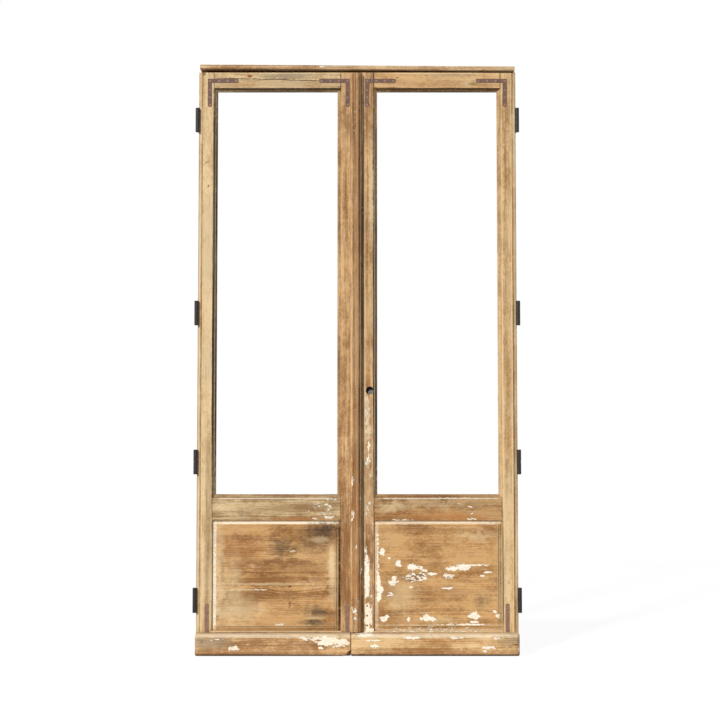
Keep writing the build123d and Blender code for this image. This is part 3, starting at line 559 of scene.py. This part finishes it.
# %% Meeting stiles
finishes["left_meeting_stile"] = pine(
    "left meeting stile pine", "Z", (-0.05, 0.02), (214, 172, 120), (150, 108, 64),
    seed=7.7, rings=0.4, clouds=0.6, fibres=0.6, residue=0.25,
    marks=[
        mark("brown", -46, 2180, 14, 90, 0.7),
        mark("brown", -50, 1880, 12, 120, 0.5),
        mark("pale", -62, 1500, 8, 420, 0.2),
        mark("brown", -48, 400, 24, 230, 0.42),
        mark("pale", -38, 110, 12, 26, 0.7),
        mark("crack", -67.5, 2337, 1.5, 31, 0.85, True),
        # Painted shadow in the top corner of the light's moulding.
        mark("grime_and_shade", -70, 2298, 4, 8, 0.9),
    ],
    paint=[patch(-56, 1700, 5, 420, 0.17), patch(-40, 700, 6, 420, 0.24), patch(-42, 110, 10, 20, 0.38)],
)
finishes["right_meeting_stile"] = pine(
    "right meeting stile pine", "Z", (0.07, 0.03), (216, 174, 124), (154, 112, 68),
    seed=9.2, rings=0.4, clouds=0.6, fibres=0.6, residue=0.35,
    marks=[
        # Painted light over the cover strip's shadow, and painted shade and painted highlight along the
        # hollow left of the light.
        mark("pale", 29, 1300, 2.6, 1050, 0.85, True),
        mark("soot_and_shade", 65.8, LIGHT_MIDDLE, 2.6, 836, 1.0, True),
        mark("cream", 69.9, LIGHT_MIDDLE, 2.0, 830, 1.0, True),
        mark("soot_and_shade", 74.4, LIGHT_MIDDLE, 1.8, 828, 0.6, True),
        mark("soot_and_shade", 78.6, LIGHT_MIDDLE, 3.2, 826, 0.95, True),
        mark("cream", 41, 985, 9, 52, 0.5),
        mark("cream", 44, 900, 8, 40, 0.5),
        mark("cream", 43, 780, 7, 30, 0.5),
        mark("brown", 46, 2140, 15, 75, 0.75),
        mark("brown", 44, 1700, 12, 160, 0.5),
        mark("pale", 56, 1880, 9, 200, 0.6),
        mark("crack", 67.5, 2337, 1.5, 31, 0.85, True),
        mark("brown", 52, 430, 14, 110, 0.75),
        mark("brown", 40, 700, 14, 130, 0.45),
    ],
    paint=[
        patch(37, 330, 10, 100, 0.95),
        patch(39, 292, 12, 66, 0.8),
        patch(54, 250, 8, 90, 0.41),
        patch(42, 150, 15, 62, 0.71),
        patch(48, 97, 34, 11, 0.86),
        patch(57, 160, 4, 46, 0.7, True),
        patch(42, 985, 8, 44, 0.42),
        patch(44, 905, 8, 40, 0.45),
        patch(46, 838, 6, 20, 0.72),
        patch(43, 780, 7, 30, 0.6),
        patch(50, 720, 6, 20, 0.5),
        patch(43, 585, 12, 40, 0.49),
        patch(64, 1250, 5, 1000, 0.15),
    ],
)
print("meeting stiles", len(finishes))

# %% [markdown]
# The cover strip has a flat band, a groove, a bead and a quirk, so dark and pale lines of painted shade
# and painted highlight run all the way up its finish. The light is from the left, so the darkest ones
# are right of the band and the bead.

# %% Cover strip
STRIP_MIDDLE = 1230
finishes["cover_strip"] = pine(
    "cover strip pine", "Z", (0.01, -0.05), (210, 168, 118), (142, 100, 58),
    seed=12.4, rings=0.45, clouds=0.6, fibres=0.65, residue=0.35, grime_and_shade=0.0,
    marks=[
        mark("pale", -22, 1500, 5, 850, 0.2),
        mark("brown", -4, STRIP_MIDDLE, 9, STILE_HALF, 0.22, True),
        mark("warm", -4, STRIP_MIDDLE, 9, STILE_HALF, 0.28, True),
        # Painted shade and painted highlight along the strip's profile.
        mark("brown", -11.4, STRIP_MIDDLE, 2.2, STILE_HALF, 0.55, True),
        mark("pale", 0.8, STRIP_MIDDLE, 2.6, STILE_HALF, 0.5, True),
        mark("soot_and_shade", 8.6, STRIP_MIDDLE, 2.6, STILE_HALF, 1.0, True),
        mark("pale", 13, STRIP_MIDDLE, 1.5, STILE_HALF, 0.5, True),
        mark("brown", 17, STRIP_MIDDLE, 2.0, STILE_HALF, 0.6, True),
        mark("soot_and_shade", 20.6, STRIP_MIDDLE, 4.6, STILE_HALF, 0.85, True),
        mark("warm", -8, 420, 14, 260, 0.4),
    ],
    paint=[
        patch(-12, 2150, 7, 60, 0.36),
        patch(-14, 1350, 8, 800, 0.18),
        patch(-18, 560, 7, 30, 0.6),
        patch(-6, 440, 6, 26, 0.5),
        patch(-20, 700, 5, 24, 0.5),
        patch(14, 330, 3, 26, 0.6),
        patch(14, 620, 3, 20, 0.6),
        patch(-18, 560, 7, 360, 0.24),
        patch(-8, 170, 14, 70, 0.42),
    ],
)
print("cover strip", finishes["cover_strip"].name)

# %% [markdown]
# A thin strip is planted on each leaf's hinge side. The gap beside it is a dark line. The left strip is
# bleached, and the right one, which is turned away from the light, has stayed browner.

# %% Edge strips
def edge_strip_marks(sign, joint, bleached, browned):
    marks = [
        mark(joint, sign * 634.3, STILE_MIDDLE, 1.8, STILE_HALF, 0.7, True),
        mark("pale", sign * 642, STILE_MIDDLE, 3.2, STILE_HALF, bleached, True),
    ]
    if browned:
        marks.append(mark("brown", sign * 640, STILE_MIDDLE, 9, STILE_HALF, browned, True))
    marks.append(mark("soot_and_shade", sign * 647, STILE_MIDDLE, 1.5, STILE_HALF, 0.5, True))
    marks.append(mark("pale", sign * 640, 2160, 10, 70, 0.5))
    return marks


EDGE_STRIPS = (("left", -1, 14.0, "brown", 0.8, 0.0), ("right", 1, 16.3, "crack", 0.4, 0.3))
for side, sign, seed, *looks in EDGE_STRIPS:
    finishes[side + "_edge_strip"] = pine(
        side + " edge strip pine", "Z", (0.0, 0.03), (220, 190, 144), (164, 126, 82),
        seed=seed, rings=0.3, clouds=0.5, fibres=0.6, residue=0.3,
        marks=edge_strip_marks(sign, *looks),
        paint=[patch(sign * 640, 1300, 7, 1000, 0.14)],
    )
print("with the strips", len(finishes))

# %% [markdown]
# The rails run across, so their grain does too. The left top rail has split along a ring for most of
# its length, and a red knot sits above the split. The split could be cut into the board, but it is only
# a hair wide, so three dark marks with a wandering outline are enough. The short upright ones are the
# joints between rail and stile. The long dark lines along the lower edge are painted shade in the
# hollow above the light, and the pale line along the top is a painted highlight over the drip cap's
# shadow.

# %% Top rails
finishes["left_top_rail"] = pine(
    "left top rail pine", "X", (2.40, 0.02), (226, 196, 148), (160, 126, 84),
    seed=20.5, rings=0.35, clouds=0.5, fibres=0.5, grey=0.3, residue=0.1, grime_and_shade=0.6,
    marks=[
        mark("grey", -290, 2356, 100, 12, 0.75),
        mark("warm", -480, 2318, 60, 10, 0.4),
        mark("red_knot", -441, 2354, 10, 5, 0.9),
        mark("crack", -500, 2345, 90, 1.6, 0.9),
        mark("crack", -350, 2341, 90, 1.9, 0.95),
        mark("crack", -220, 2336, 80, 1.7, 0.95),
        mark("crack", -585.5, 2337, 1.6, 30, 0.5, True),
        mark("crack", -68, 2337, 1.8, 31, 0.95, True),
        # Painted shade in the hollow above the light, and a painted highlight along the top over the
        # drip cap's shadow.
        mark("grime_and_shade", -326, 2301, 252, 4.5, 0.7, True),
        mark("grime_and_shade", -326, 2292.5, 250, 4.5, 0.85, True),
        mark("pale", -326, 2365.5, 258, 2.5, 0.5, True),
        mark("brown", -326, 2321, 252, 13, 0.28, True),
    ],
)
finishes["right_top_rail"] = pine(
    "right top rail pine", "X", (2.36, 0.03), (220, 178, 124), (162, 120, 72),
    seed=23.1, rings=0.4, clouds=0.5, fibres=0.45, grey=0.15, residue=0.1, grime_and_shade=0.7,
    marks=[
        mark("grey", 390, 2356, 110, 8, 0.6),
        mark("knot", 165, 2349, 6, 2.6, 0.8),
        mark("red_knot", 283, 2357, 5, 2.6, 0.9),
        mark("red_knot", 271, 2326, 5, 4, 0.35),
        mark("pale", 452, 2325, 22, 10, 0.7),
        mark("grime_and_shade", 472, 2322, 16, 6, 0.5),
        mark("crack", 68, 2337, 1.8, 31, 0.95, True),
        mark("crack", 585, 2337, 1.8, 31, 0.85, True),
        # Painted shade in the hollow above the light, and a painted highlight along the top over the
        # drip cap's shadow.
        mark("grime_and_shade", 326, 2301, 252, 4.5, 0.7, True),
        mark("grime_and_shade", 326, 2292.5, 250, 4.5, 1.0, True),
        mark("pale", 326, 2365.5, 258, 2.5, 0.5, True),
        mark("brown", 326, 2321, 252, 13, 0.28, True),
    ],
)
print("top rails", len(finishes))

# %% [markdown]
# The middle rails carry scuffs of cream paint, most of them near the meeting stiles, and a pale cream
# line along the moulding's upper edge. The bottom rails hardly show above the drip boards.

# %% Middle and bottom rails
finishes["left_mid_rail"] = pine(
    "left middle rail pine", "X", (0.60, 0.02), (210, 182, 136), (146, 114, 74),
    seed=26.2, rings=0.35, clouds=0.6, fibres=0.65, grey=0.45, residue=0.75, grime_and_shade=0.1,
    marks=[
        mark("brown", -330, 638, 240, 5, 0.5, True),
        mark("pale", -340, 590, 230, 18, 0.2),
        mark("warm", -223, 546, 120, 7, 0.8),
        mark("brown", -380, 549, 190, 9, 0.35, True),
        mark("brown", -210, 590, 50, 22, 0.6),
        mark("cream", -326, 628, 245, 2.2, 0.65, True),
        mark("pale", -556, 588, 12, 7, 0.7),
        mark("crack", -68, 585, 1.5, 45, 0.8, True),
        mark("crack", -585, 585, 1.5, 45, 0.6, True),
    ],
    paint=[
        patch(-150, 592, 34, 14, 0.54),
        patch(-122, 563, 34, 18, 0.46),
        patch(-190, 580, 30, 12, 0.32),
        patch(-556, 588, 12, 5, 0.38),
        patch(-170, 548, 20, 4, 0.52),
        patch(-100, 624, 30, 5, 0.58),
        patch(-326, 629, 245, 3, 0.24),
    ],
)
finishes["right_mid_rail"] = pine(
    "right middle rail pine", "X", (0.56, 0.02), (190, 150, 99), (132, 92, 52),
    seed=29.6, rings=0.35, clouds=0.65, fibres=0.55, grey=0.2, residue=0.6, grime_and_shade=0.1,
    marks=[
        mark("brown", 326, 638, 240, 5, 0.5, True),
        mark("pale", 140, 596, 50, 18, 0.5),
        mark("pale", 300, 608, 220, 14, 0.35),
        mark("warm", 326, 560, 250, 20, 0.4),
        mark("brown", 470, 600, 100, 16, 0.5),
        mark("warm", 400, 552, 120, 9, 0.6),
        mark("cream", 326, 628, 245, 2.2, 0.75, True),
        mark("crack", 68, 585, 1.5, 45, 0.6, True),
        mark("crack", 585, 585, 1.8, 45, 0.95, True),
    ],
    paint=[
        patch(420, 608, 60, 5, 0.41),
        patch(462, 594, 20, 3, 0.52),
        patch(432, 575, 6, 10, 0.54),
        patch(462, 568, 6, 8, 0.52),
        patch(462, 545, 24, 4, 0.7),
        patch(210, 606, 60, 4, 0.31),
        patch(180, 542, 60, 3, 0.52),
        patch(330, 629, 245, 3.4, 0.46),
    ],
)
for side, sign, seed in (("left", -1, 32.0), ("right", 1, 35.4)):
    finishes[side + "_bottom_rail"] = pine(
        side + " bottom rail pine", "X", (0.05, 0.02), (214, 176, 124), (146, 106, 62),
        seed=seed, rings=0.35, fibres=0.6, residue=0.5, grime_and_shade=0.1,
        marks=[mark("pale", sign * 326, 96, 320, 2.5, 0.7, True)],
        paint=[patch(sign * 300, 97, 280, 3, 0.5 if sign > 0 else 0.25)],
    )
print("rails", len(finishes))

# %% [markdown]
# The panels show the most. Damp has left dark stains on the left one. On the right one cream paint
# still clings in flakes. Their sloping margins are lighter on the left and at the top, with cream paint
# and painted highlight, and the other two carry lines of painted shade, because the lamp is high on the
# left.

# %% Margins that both panels share
PANEL_EDGES = (67, 586)


def margins(sign, left, top):
    """The four sloping borders: cream paint and painted highlight on the left and the top one, and fine
    lines of painted shade and painted highlight.
    """
    low_x, high_x = sorted(sign * edge for edge in PANEL_EDGES)
    middle = (low_x + high_x) / 2
    marks = [
        # Cream paint and painted highlight on the left border and the top one, and painted light over
        # the shadow in the left joint.
        mark("cream", low_x + 9.5, 320, 9.5, 222, left, True),
        mark("cream", low_x + 2.4, 318, 2.6, 219, 0.85, True),
        mark("cream", middle, 532, 262, 7.5, top, True),
        # Fine lines of painted shade and painted highlight along the field's edges and the borders.
        mark("brown", low_x + 20, 315, 1.0, 200, 0.35, True),
        mark("brown", middle, 518, 240, 1.2, 0.4, True),
        mark("pale", high_x - 20, 315, 1.6, 198, 0.9, True),
        mark("soot_and_shade", high_x - 17.6, 315, 1.7, 202, 0.6, True),
        mark("pale", high_x - 13.4, 315, 2.0, 205, 0.55, True),
        mark("pale", middle, 119, 238, 1.6, 0.9, True),
        mark("grime_and_shade", middle, 115.6, 240, 1.5, 0.7, True),
    ]
    if sign < 0:
        # The left panel's right border and its bottom one get more painted shade, with a pale line.
        marks += [
            mark("brown", high_x - 9.4, 312, 1.8, 210, 0.5, True),
            mark("soot_and_shade", high_x - 4.8, 312, 3.2, 215, 1.0, True),
            mark("soot_and_shade", high_x - 1.3, 312, 1.6, 220, 0.6, True),
            mark("pale", middle, 111.8, 245, 1.8, 0.5, True),
            mark("olive", middle, 104, 252, 5, 0.35, True),
        ]
    else:
        marks += [
            mark("pale", high_x - 2.5, 312, 2.5, 215, 0.8, True),
            mark("cream", middle, 123, 238, 3, 0.25, True),
            mark("cream", middle, 102, 255, 4, 0.5, True),
        ]
    return marks


print("panels are", PANEL_EDGES[1] - PANEL_EDGES[0], "mm wide between the stiles")

# %% [markdown]
# The left panel has dark stains of damp in its right corners and one in the middle, browner clouds
# along the grain, a knot that the rings part round, and only a few flakes of paint.

# %% Left panel
finishes["left_panel"] = pine(
    "left panel pine", "X", (0.30, 0.015), (206, 160, 104), (140, 96, 52),
    seed=40.2, rings=0.45, clouds=0.8, fibres=0.4, grey=0.1, residue=0.5, grime_and_shade=0.0,
    marks=margins(-1, 0.95, 0.95) + [
        mark("pale", -556, 330, 16, 190, 0.6),
        mark("pale", -100, 300, 12, 150, 0.4),
        mark("pale", -480, 180, 90, 50, 0.55),
        mark("pale", -500, 300, 30, 120, 0.4),
        mark("brown", -450, 420, 60, 40, 0.4),
        mark("warm", -470, 440, 90, 50, 0.35),
        mark("warm", -106, 455, 18, 52, 0.6),
        mark("warm", -108, 160, 20, 46, 0.55),
        mark("damp", -146, 496, 62, 24, 0.85),
        mark("damp", -124, 478, 30, 34, 0.7),
        mark("damp", -190, 440, 60, 24, 0.45),
        mark("damp", -304, 430, 44, 32, 0.75),
        mark("brown", -312, 372, 150, 16, 0.8),
        mark("brown", -250, 340, 120, 30, 0.5),
        mark("brown", -360, 230, 130, 24, 0.35),
        mark("brown", -470, 470, 90, 14, 0.5),
        mark("damp", -154, 172, 50, 28, 0.8),
        mark("damp", -172, 130, 56, 9, 0.85),
        mark("pale", -170, 150, 34, 5, 0.5),
        mark("pale", -150, 462, 40, 12, 0.4),
        mark("pale", -104, 371, 12, 60, 0.7),
        mark("olive", -545, 340, 9, 60, 0.4),
        mark("pale", -330, 285, 200, 5, 0.55),
        mark("pale", -470, 262, 70, 4, 0.6),
        mark("knot", -272, 276, 6, 6, 0.85),
        mark("brown", -272, 203, 5, 14, 0.8),
    ],
    paint=[
        patch(-575, 330, 9, 215, 0.46, True),
        patch(-393, 262, 28, 3.2, 0.64),
        patch(-312, 124, 30, 6, 0.46),
        patch(-330, 110, 200, 4, 0.27),
        patch(-160, 470, 50, 30, 0.16),
        patch(-268, 418, 24, 5, 0.41),
        patch(-176, 330, 34, 20, 0.18),
        patch(-545, 116, 20, 8, 0.38),
    ],
)
print("left panel", len(finishes))

# %% [markdown]
# The right panel keeps most of the paint: a broken band across the middle, blots above the lower edge,
# and a crust down the left margin. Each flake has a place of its own, so that the band isn't even.

# %% Right panel
finishes["right_panel"] = pine(
    "right panel pine", "X", (0.20, 0.02), (207, 162, 106), (148, 104, 58),
    seed=44.9, rings=0.3, clouds=0.6, fibres=0.36, grey=0.1, residue=0.45, grime_and_shade=0.0,
    marks=margins(1, 0.35, 0.75) + [
        mark("brown", 326, 132, 250, 9, 0.4),
        mark("damp", 505, 212, 24, 18, 0.55),
        mark("brown", 300, 500, 220, 12, 0.5),
        mark("brown", 130, 260, 40, 40, 0.6),
        mark("brown", 290, 250, 200, 22, 0.35),
        mark("pale", 180, 230, 60, 60, 0.4),
        mark("pale", 480, 480, 70, 16, 0.45),
        mark("damp", 232, 318, 50, 14, 0.5),
        mark("pale", 330, 140, 90, 18, 0.35),
        mark("brown", 120, 150, 40, 30, 0.5),
    ],
    paint=[
        patch(83, 380, 6, 150, 0.56),
        patch(86, 290, 8, 40, 0.8),
        patch(94, 262, 9, 22, 0.85),
        patch(88, 235, 8, 22, 0.8),
        patch(98, 414, 12, 16, 0.84),
        patch(164, 366, 13, 17, 0.86),
        patch(150, 296, 15, 15, 0.92),
        patch(131, 388, 8, 5, 0.76),
        patch(112, 146, 17, 17, 0.98),
        patch(283, 150, 33, 15, 0.98),
        patch(467, 160, 26, 13, 0.96),
        patch(470, 134, 20, 5, 0.81),
        patch(553, 175, 8, 6, 0.9),
        patch(565, 156, 7, 9, 0.9),
        patch(207, 146, 8, 7, 0.9),
        patch(222, 351, 24, 13, 0.86),
        patch(252, 352, 16, 9, 0.7),
        patch(232, 314, 66, 17, 0.57),
        patch(270, 340, 16, 8, 0.76),
        patch(300, 326, 22, 6, 0.66),
        patch(384, 348, 32, 9, 0.78),
        patch(432, 350, 34, 13, 0.81),
        patch(470, 360, 90, 3.5, 0.64),
        patch(364, 316, 24, 12, 0.64),
        patch(528, 332, 22, 5, 0.76),
        patch(505, 318, 10, 4, 0.81),
        patch(366, 268, 26, 4, 0.7),
        patch(216, 272, 10, 5, 0.9),
        patch(131, 244, 22, 8, 0.64),
        patch(420, 124, 120, 4, 0.66),
        patch(320, 106, 240, 9, 0.46),
        patch(330, 520, 240, 3, 0.24),
    ],
)
print("right panel", len(finishes))

# %% [markdown]
# The drip boards throw the rain off the threshold. Their sloping tops have bleached and carry a
# painted highlight, and their lower edges carry the darkest painted shade on the doors. The left one
# has lost a corner, and the right one has a crack in its end.

# %% Drip boards
finishes["left_drip_board"] = pine(
    "left drip board pine", "X", (0.02, -0.06), (224, 184, 133), (154, 113, 70),
    seed=48.3, rings=0.35, clouds=0.7, fibres=0.5, grey=0.35, residue=0.8, grime_and_shade=0.0,
    marks=[
        mark("knot", -619, 62, 4, 5, 0.9),
        mark("grey", -590, 56, 70, 26, 0.7),
        mark("grime_and_shade", -335, 92.7, 320, 0.55, 0.8, True),
        # A painted highlight along the sloping top.
        mark("cream", -335, 85, 320, 7, 0.5, True),
        mark("warm", -335, 24, 310, 12, 0.35),
        mark("brown", -190, 40, 60, 24, 0.5),
        mark("brown", -340, 14, 320, 7, 0.5, True),
        # Painted shade along the lower edge.
        mark("soot_and_shade", -335, 4.2, 325, 4, 0.5, True),
        mark("grime_and_shade", -340, 7, 320, 5, 0.95, True),
        mark("brown", -420, 18, 200, 8, 0.5),
    ],
    paint=[
        patch(-100, 62, 72, 17, 0.86),
        patch(-180, 74, 60, 8, 0.64),
        patch(-72, 48, 34, 14, 0.69),
        patch(-491, 35, 22, 7, 0.92),
        patch(-146, 37, 12, 6, 0.92),
        patch(-560, 70, 40, 4, 0.46),
        patch(-335, 50, 110, 24, 0.15),
    ],
)
finishes["right_drip_board"] = pine(
    "right drip board pine", "X", (0.0, -0.05), (226, 190, 138), (160, 120, 72),
    seed=52.8, rings=0.35, clouds=0.7, fibres=0.45, grey=0.1, residue=0.5, grime_and_shade=0.0,
    marks=[
        mark("grime_and_shade", 310, 92.7, 345, 0.55, 0.6, True),
        # A painted highlight along the sloping top.
        mark("cream", 310, 85, 345, 7, 0.55, True),
        mark("warm", 320, 22, 320, 12, 0.5),
        mark("crack", 634, 51, 16, 2.6, 0.95),
        mark("grey", 610, 66, 50, 18, 0.5),
        mark("warm", 380, 62, 180, 14, 0.35),
        mark("brown", 320, 14, 340, 7, 0.55, True),
        # Painted shade along the lower edge.
        mark("soot_and_shade", 320, 4.4, 340, 4.4, 0.7, True),
        mark("grime_and_shade", 320, 7, 340, 5, 1.0, True),
        mark("brown", 220, 26, 240, 8, 0.45),
    ],
    paint=[
        patch(62, 67, 34, 4, 0.76),
        patch(68, 45, 22, 8, 0.76),
        patch(216, 77, 42, 6, 0.78),
        patch(396, 77, 34, 6, 0.71),
        patch(525, 38, 30, 6, 0.78),
        patch(508, 24, 10, 5, 0.64),
        patch(30, 88, 40, 6, 0.81),
        patch(300, 88, 320, 4, 0.32),
        patch(552, 74, 20, 4, 0.58),
        patch(645, 40, 5, 30, 0.52),
    ],
)
print("drip boards", len(finishes))

# %% [markdown]
# The frame stands behind the leaves. Its pine has seen less weather, so it is plainer. The head's
# drip cap is a lighter batten with one chipped place in its front edge.

# %% Frame
finishes["head_drip_cap"] = pine(
    "drip cap pine", "X", (2.45, -0.02), (224, 190, 146), (160, 120, 80),
    seed=60.1, rings=0.35, clouds=0.6, fibres=0.6, grey=0.3, residue=0.25, grime_and_shade=0.0,
    marks=[
        mark("brown", -200, 2396, 50, 5, 0.8),
        mark("warm", -430, 2397, 70, 4, 0.5),
        mark("brown", 300, 2384, 340, 4, 0.4),
        mark("brown", -430, 2384, 230, 3, 0.5),
    ],
    paint=[patch(-144, 2391, 16, 3, 0.7), patch(-500, 2396, 120, 4, 0.15)],
)
for number, name in enumerate(("frame_jamb_left", "frame_jamb_right", "frame_head", "frame_threshold")):
    upright = "jamb" in name
    finishes[name] = pine(
        name.replace("_", " ") + " pine",
        "Z" if upright else "X",
        (0.1, 0.05) if upright else (2.2, 0.05),
        (218, 182, 134), (160, 120, 76),
        seed=64.0 + 3 * number, rings=0.4, grey=0.35, residue=0.3, grime_and_shade=0.0,
    )
print("frame", len(finishes))

# %% [markdown]
# Metal. The angle irons that hold the corners together are flat strips that rusted to a purplish
# brown, with paler powder on it and dark pits. Their screws were turned last and are a little lighter.
# The irons at the foot are paler, and the right leaf's inner one is still painted. The hinges are
# blacked iron. The lock is dull steel, painted near black as shade but for a spot in its hole that is
# painted lit, where the light reaches. All of them have the same build: two tones that a coarse noise
# shares out, and pits from a finer one, which also roughen the surface.

# %% Irons, hinges and lock
PAINTED_SHADE_BLACK = srgb(10, 9, 9)
IRON_PAINT = srgb(246, 230, 200)


def iron(name, base, rust, pit, rust_range, metallic, rough, seed=0.0, bump=0.7, clean=None, paint=()):
    graph = Graph(name)
    place = graph.place(shift=(seed, seed, seed))
    blotch = graph.noise(place, 62.0, detail=6.0, roughness=0.66)
    speck = graph.noise(place, 340.0, detail=4.0, roughness=0.7)
    pits = graph.noise(place, 900.0, detail=2.0, roughness=0.6)
    spread = graph.math("ADD", blotch, graph.math("MULTIPLY", graph.math("SUBTRACT", speck, 0.5), 0.5))
    rusted = graph.span(spread, *rust_range)
    color = graph.blend(rusted, srgb(*base), srgb(*rust))
    color = graph.blend(graph.span(speck, 0.5, 0.66, 0.0, 0.85), color, srgb(*pit))
    # Painted shade: outside the given oval the steel is near black, and inside it the steel shows as
    # lit, where the light reaches into the lock's hole.
    if clean:
        painted_lit_spot = ellipse(graph, graph.place(), *clean, soft=0.3)
        color = graph.blend(painted_lit_spot, PAINTED_SHADE_BLACK, color)
    if paint:
        board = Board(graph, "Z", seed)
        painted, _ = flaking_paint(board, paint, graph.math("SUBTRACT", blotch, 0.5), 0.0)
        color = graph.blend(painted, color, IRON_PAINT)
    height = graph.math("ADD", graph.math("MULTIPLY", speck, 0.7), graph.math("MULTIPLY", pits, 0.4))
    roughness = graph.span(rusted, 0.0, 1.0, *rough)
    return graph.finish(color, roughness, height, bump=bump, distance=0.0006, metallic=metallic)


rusted_iron = iron(
    "rusted strap iron", (108, 84, 75), (134, 102, 86), (70, 50, 43), (0.4, 0.62), 0.1, (0.6, 0.88), 2.0
)
foot_iron = iron(
    "pale strap iron", (130, 102, 87), (158, 124, 101), (78, 56, 47), (0.4, 0.62), 0.1, (0.6, 0.88), 2.4,
    paint=[patch(46, 150, 16, 70, 0.8, True)],
)
screw_iron = iron(
    "rusted screw iron", (150, 122, 108), (164, 124, 98), (96, 70, 58), (0.4, 0.62), 0.3, (0.5, 0.8), 3.0
)
black_iron = iron(
    "blacked iron", (52, 50, 50), (74, 62, 54), (30, 28, 27), (0.52, 0.74), 0.25, (0.45, 0.75), 5.0, 0.5
)
# The oval given as clean is the painted lit spot in the lock's hole; all the rest is painted shade.
lock_steel = iron(
    "dull lock steel", (128, 130, 132), (104, 100, 96), (70, 68, 66), (0.45, 0.7), 0.2, (0.5, 0.7),
    8.0, 0.4, clean=((0.0575, 1.0555), (0.0125, 0.0115)),
)
print("metals", rusted_iron.name, foot_iron.name, screw_iron.name, black_iron.name, lock_steel.name)

# %% [markdown]
# Every CAD node now swaps its plain material for one of these. A board's node finds its own finish by
# name, and the metal ones go by the slot that the record gives them.

# %% Dress the nodes
METALS = {"rusted_iron": rusted_iron, "black_iron": black_iron, "lock_steel": lock_steel}


def dress(name, obj):
    for slot in obj.material_slots:
        metal = next((METALS[key] for key in METALS if key in slot.material.name), None)
        if name.endswith("angle_iron_screws"):
            metal = screw_iron
        elif "angle_iron_bottom" in name:
            metal = foot_iron
        slot.material = finishes.get(name) or metal
        print(name, "->", slot.material.name)


for name, obj in nodes.items():
    dress(name, obj)
